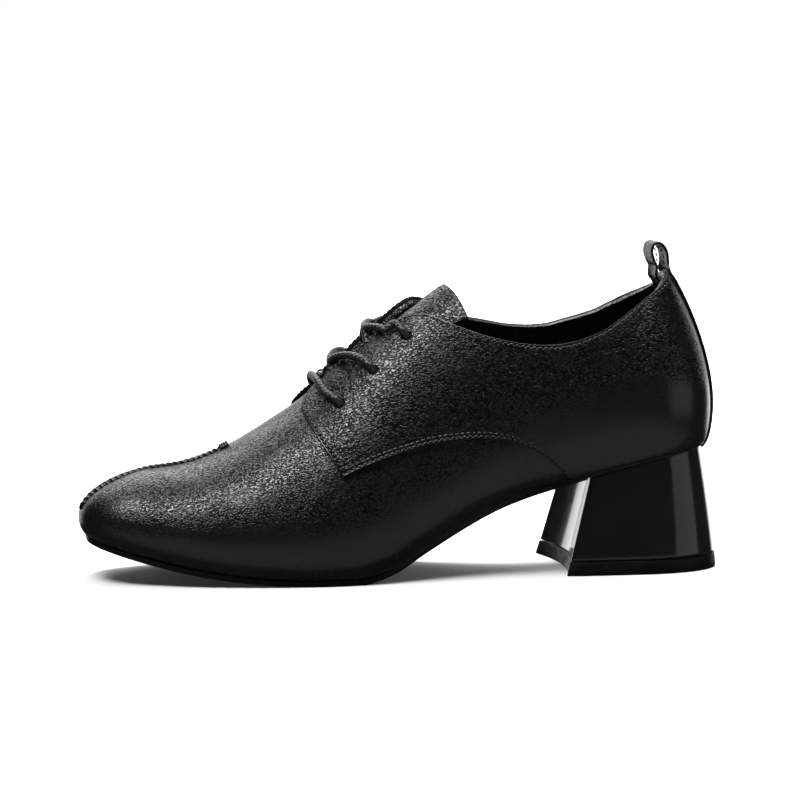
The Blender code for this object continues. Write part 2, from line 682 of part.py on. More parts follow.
def lace_crossing(name, k):
    """Two runs that cross over the tongue, each from an eyelet to under the far facing."""
    meshes = []
    at = EYELETS_AT[k + 1]
    on, over, middle = CROSS_BACK
    under = EYELETS_AT[k] - CROSS_TUCK
    for side in (-1, 1):
        edge = facing_edge(at - over, side)
        far = facing_edge(under, -side)
        route = [*lace_start(at, EYELETS_OUT[k + 1]), (at - on, edge + LACE, LACE_OVER),
                 (at - over, edge, LACE_OVER), (at - middle, 0.0001, LACE_MIDDLE),
                 (under, -(far - LACE_CLEAR), LACE_LOW)]
        meshes.append(tube([lace_point(a, side * o, lift) for a, o, lift in route]))
    made = add_object(name, meshes[0], lace_cotton)
    other = bpy.data.objects.new(name + "_other", meshes[1])
    cutters.objects.link(other)
    other.hide_render = True
    other.display_type = "WIRE"
    join = made.modifiers.new("join", "BOOLEAN")
    join.operation = "UNION"
    join.object = other
    return made


def eyelet_cutter(name, side):
    """The three punched holes of one facing, as rods through quarter and lining."""
    net = bmesh.new()
    for at, out in zip(EYELETS_AT, EYELETS_OUT):
        low = lace_point(at, side * out, -EYELET_DEPTH)
        high = lace_point(at, side * out, EYELET_DEPTH)
        axis = Vector(high - low)
        turn = Vector((0, 0, 1)).rotation_difference(axis).to_matrix().to_4x4()
        middle = Matrix.Translation(Vector((low + high) / 2))
        bmesh.ops.create_cone(net, cap_ends=True, segments=10, radius1=EYELET / 2,
                              radius2=EYELET / 2, depth=axis.length, matrix=middle @ turn)
    mesh = bpy.data.meshes.new(name)
    net.to_mesh(mesh)
    net.free()
    made = bpy.data.objects.new(name, mesh)
    cutters.objects.link(made)
    made.hide_render = True
    made.display_type = "WIRE"
    return made


def punch(made, cutter):
    cut = made.modifiers.new("punch", "BOOLEAN")
    cut.operation = "DIFFERENCE"
    cut.object = cutter


for old in list(bpy.data.objects):
    bpy.data.objects.remove(old)
parts = collection("derby_shoe")
cutters = collection("cutters")

leather = material("black_leather", (0.012, 0.012, 0.012), 0.42)
lining = material("black_lining", (0.020, 0.020, 0.019), 0.70)
sole_leather = material("black_sole", (0.010, 0.010, 0.010), 0.50)
sole_rubber = material("black_rubber", (0.012, 0.012, 0.012), 0.55)
heel_plastic = material("black_heel", (0.008, 0.008, 0.008), 0.12)
lace_cotton = material("black_lace", (0.015, 0.015, 0.015), 0.55)

upper_shell = upper()
quarter_outer = quarter("quarter_outer", -1)
quarter_inner = quarter("quarter_inner", 1)
for side, facing in ((-1, quarter_outer), (1, quarter_inner)):
    holes = eyelet_cutter("eyelets_outer" if side < 0 else "eyelets_inner", side)
    punch(upper_shell, holes)
    punch(facing, holes)
tongue()
outsole()
insole()
heel_block()
top_piece()
toe_seam()
back_strap()
lace_bar()
lace_crossing("lace_crossing_1", 0)
lace_crossing("lace_crossing_2", 1)
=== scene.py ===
"""A black lace-up derby on a flared block heel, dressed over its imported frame.

Metres, +Z up, toe to -X, outer side of the foot to -Y. Every leather piece is laid on the
same last that the frame was built on, which skin() gives.
"""
import math

import bmesh
import bpy
import numpy as np
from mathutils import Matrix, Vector


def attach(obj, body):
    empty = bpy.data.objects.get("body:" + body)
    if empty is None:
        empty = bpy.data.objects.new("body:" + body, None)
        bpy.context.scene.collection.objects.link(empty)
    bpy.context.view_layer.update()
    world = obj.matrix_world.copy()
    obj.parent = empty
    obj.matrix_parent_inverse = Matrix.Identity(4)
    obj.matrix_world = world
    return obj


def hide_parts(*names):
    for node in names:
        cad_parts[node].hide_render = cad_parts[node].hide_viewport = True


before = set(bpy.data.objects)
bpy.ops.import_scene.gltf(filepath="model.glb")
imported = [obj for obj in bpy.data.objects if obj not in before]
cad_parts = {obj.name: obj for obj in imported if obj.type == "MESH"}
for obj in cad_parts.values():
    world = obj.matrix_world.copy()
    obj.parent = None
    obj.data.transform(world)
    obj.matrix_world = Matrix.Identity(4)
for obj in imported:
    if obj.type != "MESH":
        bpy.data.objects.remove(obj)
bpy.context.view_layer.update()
bpy.ops.object.select_all(action="DESELECT")

# Sizes that the frame was built with
LENGTH = 0.2426
HALF_WIDTH = 0.0410
INSTEP_RISE = 0.0946
HEEL_LIFT = 0.0359
TOE_SPRING = 0.0155
SOLE = 0.0020
WAIST_SOLE = 0.0015
SOLE_PROUD = 0.0009
GAP = 0.0003
WALL = 0.0018
OVERLAY_TOP = 0.0018
STRAP = 0.0010
STRAP_GAP = 0.0004
STRAP_HALF = 0.0066
MARGIN = 0.0070
INSOLE = 0.0016
INSOLE_INSET = 0.0010
TONGUE = 0.0020
TONGUE_FLAT = 0.0011
TONGUE_GAP = 0.0009
TONGUE_FRONT_HALF = 0.0150
TONGUE_TOP_HALF = 0.0200
WAIST_INSET = 0.0020
HEEL_PROUD = 0.0010
LOOP_HEIGHT = 0.0095
STRAP_ACROSS = (-1.0, -0.5, 0.0, 0.5, 1.0)
STRAP_FOOT = 0.10
STRAP_TAIL = 0.10
THROAT_HALF = 0.0092
SEAM_HALF = 0.0016
SEAM_RISE = 0.0013
LACE = 0.0030
LACE_OVER = 0.0039
LACE_MIDDLE = 0.0018
LACE_LOW = -0.0013
LACE_CLEAR = 0.0021
EYELET = 0.0044
EYELET_DEPTH = 0.0032
EYELETS_OUT = (0.0225, 0.0205, 0.0175)
TOP_PIECE = 0.0053
TOP_PIECE_PROUD = 0.0003
BREAST_FLARE = 0.0098
SIDE_FLARE = 0.0048
BACK_FLARE = 0.0066
BREAST_HOLLOW = 0.0042

# Places along the shoe, as shares of LENGTH from the toe tip
ORIGIN_AT = 0.886
TOE_AXIS = 0.115
HEEL_AXIS = 0.878
BALL_FRONT = 0.350
BREAST_AT = 0.794
THROAT_AT = 0.383
THROAT_END = 0.537
FEATHER_FRONT = 0.0145
FEATHER_BACK = 0.985
EYELETS_AT = (0.401, 0.454, 0.508)
QUARTER_SEAM = 0.0020
TONGUE_FRONT = 0.362
TONGUE_TOP = 0.573
TONGUE_SLOPE = 0.029
TONGUE_FLAT_END = (0.52, 0.56)
FACING_FRONT = 0.386
SOLE_THINS = (0.45, 0.65)
SOLE_DRAWN_IN = (0.42, 0.54)
SEAM_NOSE = 1.10
SEAM_END = 0.235
CROSS_BACK = (0.026, 0.036, 0.052)
CROSS_TUCK = 0.006
BAR_BOW = 0.022
TOE_ROUND = 3.0
TOE_REACH = 0.247
TOE_CURVE = 1.9
HEEL_ROUND = 2.2
HEEL_CURVE = 1.25
HEEL_TURNS_ROUND = (HEEL_AXIS, HEEL_AXIS + 0.06)
FEATHER_HEEL_ROUND = 2.4

LAST_COLUMNS = ("at", "outer", "inner", "outer_feather", "inner_feather", "widest", "ridge",
                "round", "crown")
LAST = (
    (0.000, 0.756, 0.756, 0.670, 0.670, 0.060, 0.160, 2.00, 2.00),
    (0.095, 0.778, 0.793, 0.698, 0.712, 0.095, 0.315, 2.00, 2.00),
    (0.169, 0.854, 0.885, 0.776, 0.810, 0.108, 0.387, 2.00, 2.00),
    (0.235, 0.917, 0.956, 0.839, 0.883, 0.114, 0.478, 1.95, 2.00),
    (0.301, 0.966, 0.998, 0.888, 0.922, 0.118, 0.594, 1.85, 2.00),
    (0.363, 0.998, 0.988, 0.917, 0.898, 0.124, 0.709, 1.75, 2.00),
    (0.412, 0.990, 0.941, 0.893, 0.810, 0.140, 0.839, 1.70, 2.00),
    (0.462, 0.951, 0.883, 0.817, 0.698, 0.168, 0.943, 1.70, 2.00),
    (0.515, 0.893, 0.820, 0.695, 0.573, 0.190, 0.995, 1.70, 2.00),
    (0.577, 0.824, 0.763, 0.573, 0.476, 0.200, 1.011, 1.80, 2.00),
    (0.639, 0.776, 0.737, 0.500, 0.439, 0.203, 1.020, 1.90, 2.00),
    (0.701, 0.751, 0.727, 0.500, 0.463, 0.203, 1.010, 1.90, 2.00),
    (0.763, 0.741, 0.732, 0.549, 0.537, 0.200, 0.985, 1.70, 2.00),
    (0.824, 0.739, 0.737, 0.585, 0.583, 0.196, 0.945, 1.45, 1.90),
    (0.878, 0.737, 0.737, 0.590, 0.590, 0.190, 0.900, 1.20, 1.80),
)
TOE_TIP = {"widest": 0.060, "round": 1.25, "crown": 2.20}
HEEL_BACK = {"widest": 0.160, "ridge": 0.902, "round": 1.00, "crown": 1.72}

# Rise of the bottom behind the ball, as a share of HEEL_LIFT
LIFT = ((0.433, 0.000), (0.477, 0.081), (0.540, 0.295), (0.606, 0.529), (0.668, 0.727),
        (0.732, 0.875), (0.794, 1.000), (0.889, 1.159), (0.985, 1.284))

# Half the gap between the facings, outer and inner side, as shares of THROAT_HALF
THROAT = ((0.383, 0.00, 0.00), (0.388, 0.39, 0.39), (0.398, 0.61, 0.61), (0.416, 0.83, 0.83),
          (0.437, 0.94, 0.92), (0.462, 1.00, 0.92), (0.495, 1.12, 0.80), (0.511, 1.22, 0.74),
          (0.524, 1.36, 0.75), (0.537, 1.58, 0.93))

# Height of the collar, outer and inner side, as shares of INSTEP_RISE
COLLAR = ((0.537, 0.917, 0.962), (0.554, 0.882, 0.933), (0.577, 0.827, 0.871),
          (0.601, 0.774, 0.812), (0.624, 0.725, 0.764), (0.648, 0.681, 0.722),
          (0.672, 0.642, 0.684), (0.696, 0.612, 0.650), (0.720, 0.589, 0.624),
          (0.744, 0.573, 0.603), (0.775, 0.564, 0.588), (0.808, 0.571, 0.588),
          (0.839, 0.596, 0.592), (0.870, 0.628, 0.613), (0.900, 0.657, 0.630),
          (0.950, 0.688, 0.656), (1.000, 0.698, 0.698))

QUARTER_LOW = ((0.394, 0.405), (0.437, 0.450), (0.474, 0.459), (0.511, 0.444), (0.548, 0.415),
               (0.585, 0.375), (0.622, 0.328), (0.661, 0.266), (0.697, 0.195), (0.728, 0.118),
               (0.750, 0.051), (0.765, 0.012), (0.780, 0.012))
QUARTER_FRONT = ((0.00, 0.394), (0.25, 0.367), (0.50, 0.352), (0.70, 0.346), (0.85, 0.353),
                 (0.95, 0.365), (1.00, 0.380))
LOOP = ((-0.06, 0.25, 0.50), (-0.12, 0.52, 0.15), (-0.22, 0.80, 0.00), (-0.48, 1.00, 0.00),
        (-0.63, 0.94, 0.00), (-0.68, 0.70, 0.00), (-0.58, 0.36, 0.10), (-0.42, 0.10, 0.45))
LACE_START = ((0.000, 0.00, -0.95), (0.000, 0.00, 0.44), (0.002, 0.08, 0.80),
              (0.006, 0.26, 1.00), (0.012, 0.52, 1.00))
LACE_BAR = ((0.017, 1.36), (0.020, 0.82))
HALF_TURN = np.linspace(-0.11 * math.pi, 1.11 * math.pi, 15)

# Sizes of what the frame leaves out
EDGE = 0.00045         # rounding of a cut or folded edge
THREAD = 0.00034       # radius of the sewing thread
STITCH = 0.0022        # from one stitch to the next
WHIP = 0.0023          # the same along the toe seam
ROW_IN = 0.0010        # first stitch row, in from an edge
ROW_NEXT = 0.0013      # second row, in from the first
ROW_TOP = 0.0015       # row along facing and collar, in from the edge
GROOVE = 0.0007        # reach of the dip that a row draws in the leather
GROOVE_DEPTH = 0.00028
FOLD = 0.0009          # smooth band along a folded edge
TACK_ALONG = (0.012, 0.030)    # boxed tack on the quarter, along and up as shares of it
TACK_UP = (0.040, 0.205)
TACK_STITCH = 0.0014
TACK_THREAD = 1.7 * THREAD
WINDING = 0.00040      # radius of the thread that is wound over the toe seam
KNOT_THREAD = 0.00052

# The photograph's view
CAMERA_AT = Vector((-0.2989, -1.2253, 0.2004))
CAMERA_AIM = Vector((-0.0917, 0.0, 0.0654))
LENS = 146.7
WORLD_FILL = 0.03      # light of the white surroundings, which the camera sees at 1


def smooth(rows, at, column=1):
    """A smooth curve through one column of a table, with no overshoot between its rows."""
    xs = np.array([row[0] for row in rows])
    ys = np.array([row[column] for row in rows])
    step = np.diff(xs)
    slope = np.diff(ys) / step
    lean = np.concatenate(([slope[0]], np.zeros(len(xs) - 2), [slope[-1]]))
    same = slope[:-1] * slope[1:] > 0
    mean = 2 * slope[:-1] * slope[1:] / np.where(same, slope[:-1] + slope[1:], 1)
    lean[1:-1] = np.where(same, mean, 0)
    at = np.clip(np.asarray(at, float), xs[0], xs[-1])
    i = np.clip(np.searchsorted(xs, at) - 1, 0, len(step) - 1)
    t = (at - xs[i]) / step[i]
    rise = ys[i] * (2 * t**3 - 3 * t**2 + 1) + ys[i + 1] * (3 * t**2 - 2 * t**3)
    return rise + step[i] * (lean[i] * (t**3 - 2 * t**2 + t) + lean[i + 1] * (t**3 - t**2))


def ease(at, span):
    t = np.clip((at - span[0]) / (span[1] - span[0]), 0, 1)
    return t * t * (3 - 2 * t)


def stations(first, *runs):
    """Places along a line: on from the first to the end of each run in so many steps."""
    places = [[first]]
    for end, steps in runs:
        places.append(np.linspace(places[-1][-1], end, steps + 1)[1:])
    return np.concatenate(places)


def last_column(name, at):
    return smooth(LAST, at, LAST_COLUMNS.index(name))


def to_x(at):
    return (at - ORIGIN_AT) * LENGTH


def sole_depth(at):
    return SOLE + (WAIST_SOLE - SOLE) * ease(at, SOLE_THINS)


def tread_height(at):
    """Height of the outsole's underside over the floor: toe spring, flat ball and arch."""
    spring = np.clip((BALL_FRONT - at) / BALL_FRONT, 0, 1)**TOE_CURVE
    return TOE_SPRING * spring + HEEL_LIFT * smooth(LIFT, at)


def feather_height(at):
    return tread_height(at) + sole_depth(at) + GAP


def half_width(at, side, feather=False):
    """Half the width of the last, or of its feather line, with the round toe and heel."""
    name = ("outer" if side < 0 else "inner") + ("_feather" if feather else "")
    front = FEATHER_FRONT if feather else 0.0
    back = FEATHER_BACK if feather else 1.0
    power = FEATHER_HEEL_ROUND if feather else HEEL_ROUND
    toe = np.clip((TOE_REACH - at) / (TOE_REACH - front), 0, 1)
    heel = np.clip((at - HEEL_AXIS) / (back - HEEL_AXIS), 0, 1)
    ends = (1 - toe**TOE_ROUND)**(1 / TOE_ROUND) * (1 - heel**power)**(1 / power)
    return HALF_WIDTH * last_column(name, at) * ends


def spine(at):
    """Axis place and direction of the section at a place: fans round the toe and heel."""
    axis = np.clip(at, TOE_AXIS, HEEL_AXIS)
    toe = np.clip((TOE_AXIS - at) / TOE_AXIS, 0, 1) * math.pi / 2
    heel = np.clip((at - HEEL_AXIS) / (1 - HEEL_AXIS), 0, 1) * math.pi / 2
    along = np.sin(heel) - np.sin(toe)
    across = np.where(at < HEEL_AXIS, np.cos(toe), np.cos(heel))
    return axis, along, across


def reach(at, side, feather=False):
    """How far the outline lies from the spine in the section at a place."""
    axis, along, across = spine(at)
    front, back = (FEATHER_FRONT, FEATHER_BACK) if feather else (0, 1)
    low = np.zeros_like(axis)
    high = np.full_like(axis, 1.5 * HALF_WIDTH)
    for _ in range(36):
        middle = (low + high) / 2
        tip = axis + middle * along / LENGTH
        inside = middle * across < half_width(np.clip(tip, 0, 1), side, feather) - 1e-9
        inside &= (tip > front) & (tip < back)
        low = np.where(inside, middle, low)
        high = np.where(inside, high, middle)
    return low


def section(at, side):
    """Sizes of the sections at the places given: reaches, heights and powers."""
    at = np.asarray(at, float)
    axis, along, across = spine(at)
    toe = np.where(at < TOE_AXIS, 1 - across**2, 0)
    heel = np.where(at > HEEL_AXIS, 1 - across**2, 0)
    wide = reach(at, side)
    foot = reach(at, side, True)
    low = feather_height(np.clip(axis + foot * along / LENGTH, 0, 1))
    sizes = {"axis": axis, "along": along, "across": across * side, "wide": wide,
             "foot": foot, "low": low}
    for name in ("widest", "ridge", "round", "crown"):
        value = last_column(name, axis)
        value = value + toe * (TOE_TIP.get(name, value) - value)
        sizes[name] = value + heel * (HEEL_BACK.get(name, value) - value)
    base = np.where(at < TOE_AXIS, feather_height(axis), low)
    sizes["widest"] = low + sizes["widest"] * INSTEP_RISE
    sizes["ridge"] = base + sizes["ridge"] * INSTEP_RISE
    return sizes


def place(sizes, level):
    """A point of each section. Level 0 is the feather line, 1 the widest line, 2 the ridge,
    and below 0 the upper runs in under the foot."""
    level = np.asarray(level, float)
    low = np.clip(level, 0, 1) * math.pi / 2
    high = np.clip(level - 1, 0, 1) * math.pi / 2
    lower_out = sizes["foot"] + (sizes["wide"] - sizes["foot"]) * np.sin(low)
    upper_out = sizes["wide"] * np.maximum(np.cos(high), 0)**(2 / sizes["round"])
    out = np.where(level > 1, upper_out, lower_out) + np.minimum(level, 0) * MARGIN
    lower_z = sizes["widest"] - (sizes["widest"] - sizes["low"]) * np.cos(low)
    upper_z = sizes["widest"] + (sizes["ridge"] - sizes["widest"]) * np.sin(high)**(2 / sizes["crown"])
    z = np.where(level > 1, upper_z, lower_z)
    at = sizes["axis"] + out * sizes["along"] / LENGTH
    z = np.where(level < 0, feather_height(at), z)
    return np.stack([to_x(at), out * sizes["across"], z], -1)


def skin(at, level, side, lift=0.0):
    """Points of the last, moved out along its normal by lift."""
    at, level = np.broadcast_arrays(np.asarray(at, float), np.asarray(level, float))
    at = np.where((level >= 1.999) & (at < TOE_AXIS), TOE_AXIS, at)
    here = section(at, side)
    point = place(here, level)
    if np.all(np.asarray(lift) == 0):
        return point
    small = 0.0006
    back = np.clip(at - small, 0, 1)
    ahead = np.clip(at + small, 0, 1)
    under = np.clip(level - small, -1, 1.998)
    over = np.clip(level + small, -1, 1.999)
    below = np.minimum(level, 1.99)
    run = place(section(ahead, side), below) - place(section(back, side), below)
    rise = place(here, over) - place(here, under)
    normal = np.cross(run, rise) * -side
    normal[level >= 1.999, 1] = 0
    normal[(at <= 0) | (at >= 1), 1] = 0
    normal /= np.linalg.norm(normal, axis=-1, keepdims=True)
    return point + normal * np.broadcast_to(lift, at.shape)[..., None]


def level_of_height(at, side, height):
    sizes = section(at, side)
    low = np.clip((sizes["widest"] - height) / (sizes["widest"] - sizes["low"]), 0, 1)
    high = np.clip((height - sizes["widest"]) / (sizes["ridge"] - sizes["widest"]), 0, 1)
    high = np.arcsin(high**(sizes["crown"] / 2))
    return np.where(height < sizes["widest"], np.arccos(low), high + math.pi / 2) / (math.pi / 2)


def level_of_width(at, side, width):
    sizes = section(at, side)
    share = np.clip(width / sizes["wide"], 0, 1)**(sizes["round"] / 2)
    return 1 + np.arccos(share) / (math.pi / 2)


def top_level(at, side):
    """The level of the upper's top edge: ridge, then throat, then collar."""
    at = np.asarray(at, float)
    column = 1 if side < 0 else 2
    throat = level_of_width(at, side, THROAT_HALF * smooth(THROAT, at, column))
    height = section(at, side)["low"] + INSTEP_RISE * smooth(COLLAR, at, column)
    collar = level_of_height(at, side, height)
    return np.where(at <= THROAT_AT, 2.0, np.where(at < THROAT_END, throat, collar))


def low_level(at, side):
    height = section(at, side)["low"] + INSTEP_RISE * smooth(QUARTER_LOW, at)
    return level_of_height(at, side, height)


def outward(line, raised):
    """Unit normals from a line on a surface and the same line raised."""
    normal = raised - line
    return normal / np.linalg.norm(normal, axis=-1, keepdims=True)


def travelled(points, axis=0):
    """How far each point of a line or grid lies along it, over the surface."""
    steps = np.linalg.norm(np.diff(points, axis=axis), axis=-1)
    pad = [(1, 0) if k == axis else (0, 0) for k in range(steps.ndim)]
    return np.pad(np.cumsum(steps, axis=axis), pad)


def spot_on(line, run, spot):
    """The point of a line at one distance along it."""
    return np.array([np.interp(spot, run, column) for column in line.T])


def resampled(rows, count):
    """Rows of points, or single points, spaced evenly along a smooth curve through them."""
    rows = np.asarray(rows, float)
    guide = rows.reshape(len(rows), -1, 3).mean(1)
    run = travelled(guide)
    where = np.linspace(0, run[-1], count)
    flat = rows.reshape(len(rows), -1)
    table = np.column_stack([run, flat])
    made = np.stack([smooth(table, where, k + 1) for k in range(flat.shape[1])], -1)
    return made.reshape(count, *rows.shape[1:])


def only(made):
    """Makes one object the active one, selected alone."""
    bpy.ops.object.select_all(action="DESELECT")
    made.select_set(True)
    bpy.context.view_layer.objects.active = made
    return made


def laid(name, points, turned=False):
    """A grid laid over rows of points. Its own map runs with the rows and columns."""
    rows, columns = points.shape[:2]
    bpy.ops.mesh.primitive_grid_add(x_subdivisions=columns - 1, y_subdivisions=rows - 1, size=1)
    made = bpy.context.object
    made.name = name
    made.data.vertices.foreach_set("co", np.ascontiguousarray(points, np.float32).ravel())
    if turned:
        made.data.flip_normals()
    made.data.update()
    return made


def added(name, data):
    """A new object in the scene."""
    made = bpy.data.objects.new(name, data)
    bpy.context.scene.collection.objects.link(made)
    return made


def joined(pieces):
    """The pieces in one object, the first of them."""
    only(pieces[0])
    for other in pieces[1:]:
        other.select_set(True)
    if len(pieces) > 1:
        bpy.ops.object.join()
    return pieces[0]


def welded(pieces, distance=0.00002):
    """The pieces joined, with edges that meet made one."""
    made = joined(pieces)
    bpy.ops.object.mode_set(mode="EDIT")
    bpy.ops.mesh.select_all(action="SELECT")
    bpy.ops.mesh.remove_doubles(threshold=distance)
    bpy.ops.mesh.dissolve_degenerate(threshold=distance)
    bpy.ops.object.mode_set(mode="OBJECT")
    return made


def worked(made, kind, **settings):
    """Adds a modifier and applies it."""
    only(made)
    step = made.modifiers.new(kind.lower(), kind)
    for name, value in settings.items():
        setattr(step, name, value)
    bpy.ops.object.modifier_apply(modifier=step.name)
    return made


def rounded(made, width, segments, angle):
    """Rounds the edges that turn by more than an angle in degrees."""
    return worked(made, "BEVEL", width=width, segments=segments, limit_method="ANGLE",
                  angle_limit=math.radians(angle), use_clamp_overlap=True)


def walled(made, thickness, offset, edge=EDGE, inner=0):
    """Gives a sheet its thickness and rounds its rim. With inner 1 its back and its rim take
    the second material."""
    worked(made, "SOLIDIFY", thickness=thickness, offset=offset, use_even_offset=False,
           material_offset=inner, material_offset_rim=inner)
    return rounded(made, edge, 3, 60)


def lofted(name, rings):
    """A closed solid through rings of points, capped at both ends."""
    net = bmesh.new()
    rows = [[net.verts.new(point) for point in ring] for ring in rings]
    for near, far in zip(rows, rows[1:]):
        for j in range(len(near)):
            k = (j + 1) % len(near)
            net.faces.new((near[j], near[k], far[k], far[j]))
    net.faces.new(rows[0][::-1])
    net.faces.new(rows[-1])
    bmesh.ops.recalc_face_normals(net, faces=net.faces)
    mesh = bpy.data.meshes.new(name)
    net.to_mesh(mesh)
    net.free()
    return added(name, mesh)


def tube(name, path, radius, around, count):
    """A round cord through points, with domed ends and its map along and around it."""
    line = resampled(path, count)
    ahead = np.gradient(line, axis=0)
    ahead /= np.linalg.norm(ahead, axis=1, keepdims=True)
    side = np.cross(ahead[0], (0.0, 0.1, 1.0))
    turn = np.linspace(0, 2 * math.pi, around + 1)
    run = travelled(line)
    rings = []
    for i, point in enumerate(line):
        side = side - ahead[i] * np.dot(side, ahead[i])
        side = side / np.linalg.norm(side)
        other = np.cross(ahead[i], side)
        near_end = min(run[i], run[-1] - run[i]) / radius
        size = radius * math.sqrt(max(1 - (1 - min(near_end, 1))**2, 0))
        rings.append(point + size * (np.cos(turn)[:, None] * side + np.sin(turn)[:, None] * other))
    made = laid(name, np.array(rings), turned=True)
    layer = made.data.uv_layers[0].data
    for loop in made.data.loops:
        row = loop.vertex_index // (around + 1)
        layer[loop.index].uv = (layer[loop.index].uv[0], run[row] / radius)
    return welded([made], 0.000002)


def copies(name, shape, frames):
    """One mesh with the shape repeated at each frame: a middle and three axes."""
    base = np.array([corner.co for corner in shape.data.vertices])
    faces = [tuple(face.vertices) for face in shape.data.polygons]
    points = []
    corners = []
    for middle, axes in frames:
        corners += [tuple(v + len(points) * len(base) for v in face) for face in faces]
        points.append(middle + base @ np.asarray(axes))
    mesh = bpy.data.meshes.new(name)
    mesh.from_pydata(np.concatenate(points).tolist(), [], corners)
    made = added(name, mesh)
    bpy.data.objects.remove(shape)
    return made


def sewn(name, rows, pitch=STITCH, long=0.80, radius=THREAD):
    """Lines of stitches. Each row is a line on the leather and its normals."""
    frames = []
    for line, normal in rows:
        run = travelled(line)
        count = max(int(run[-1] / pitch), 1)
        for spot in (np.arange(count) + 0.5) * run[-1] / count:
            up = spot_on(normal, run, spot)
            up /= np.linalg.norm(up)
            ahead = spot_on(line, run, spot + 0.0003) - spot_on(line, run, spot - 0.0003)
            ahead -= up * np.dot(ahead, up)
            ahead /= np.linalg.norm(ahead)
            across = np.cross(up, ahead)
            frames.append((spot_on(line, run, spot) + up * radius * 0.25,
                           (ahead * pitch * long / 2, across * radius, up * radius * 0.8)))
    bpy.ops.mesh.primitive_uv_sphere_add(segments=8, ring_count=5, radius=1)
    return dressed(copies(name, bpy.context.object, frames), thread, "leather")


def dressed(made, looks, slot, *nodes, smooth_angle=40):
    """Finishes, shading and the body it rides on."""
    made.data.materials.clear()
    for look in looks if isinstance(looks, tuple) else (looks,):
        made.data.materials.append(look)
    only(made)
    bpy.ops.object.shade_smooth_by_angle(angle=math.radians(smooth_angle))
    bpy.ops.object.select_all(action="DESELECT")
    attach(made, "root")
    if nodes:
        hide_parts(*nodes)
    return made


class Finish:
    """A material under construction: its nodes and its shader."""

    def __init__(self, name, colour, roughness, **settings):
        self.look = bpy.data.materials.new(name)
        self.look.use_nodes = True
        self.tree = self.look.node_tree
        self.shader = self.tree.nodes["Principled BSDF"]
        self.shader.inputs["Base Color"].default_value = (*colour, 1)
        self.shader.inputs["Roughness"].default_value = roughness
        for socket, value in settings.items():
            self.shader.inputs[socket.replace("_", " ")].default_value = value
        self.coordinates = self.tree.nodes.new("ShaderNodeTexCoord")

    def put(self, kind, links=(), **settings):
        """Adds a node. links pairs an input with an output, settings are values."""
        made = self.tree.nodes.new("ShaderNode" + kind)
        for name, value in settings.items():
            if name in made.inputs:
                made.inputs[name].default_value = value
            else:
                setattr(made, name, value)
        for socket, source in links:
            self.tree.links.new(source, made.inputs[socket])
        return made

    def math(self, operation, first, second):
        made = self.tree.nodes.new("ShaderNodeMath")
        made.operation = operation
        for i, value in enumerate((first, second)):
            if isinstance(value, (int, float)):
                made.inputs[i].default_value = value
            else:
                self.tree.links.new(value, made.inputs[i])
        return made.outputs[0]

    def spread(self, value, low, high, to_low, to_high):
        """Maps a value from one range to another, softly."""
        made = self.put("MapRange", [("Value", value)], interpolation_type="SMOOTHSTEP")
        for i, size in enumerate((low, high, to_low, to_high)):
            made.inputs[i + 1].default_value = size
        return made.outputs[0]

    def noise(self, scale, detail=2.0, vector=None):
        return self.put("TexNoise", [("Vector", vector or self.coordinates.outputs["Object"])],
                        Scale=scale, Detail=detail).outputs["Fac"]

    def bump(self, height, distance, strength=1.0):
        made = self.put("Bump", [("Height", height)], Distance=distance, Strength=strength)
        self.tree.links.new(made.outputs[0], self.shader.inputs["Normal"])

    def feed(self, socket, source):
        self.tree.links.new(source, self.shader.inputs[socket])

    def tones(self, share, first, second):
        """Base colour from one tone to another."""
        made = self.put("Mix", [("Factor", share)], data_type="RGBA")
        made.inputs["A"].default_value = (*first, 1)
        made.inputs["B"].default_value = (*second, 1)
        self.feed("Base Color", made.outputs["Result"])


def creases(made, drawn, pebble):
    """0 on a pebble and 1 in the creases round it."""
    cells = made.put("TexVoronoi", [("Vector", drawn)], Scale=1.0 / pebble).outputs["Distance"]
    uneven = made.noise(1.0 / pebble, 1.0, drawn)
    return made.spread(made.math("ADD", cells, made.math("MULTIPLY", uneven, 0.7)), 0.55, 1.1, 0.0, 1.0)


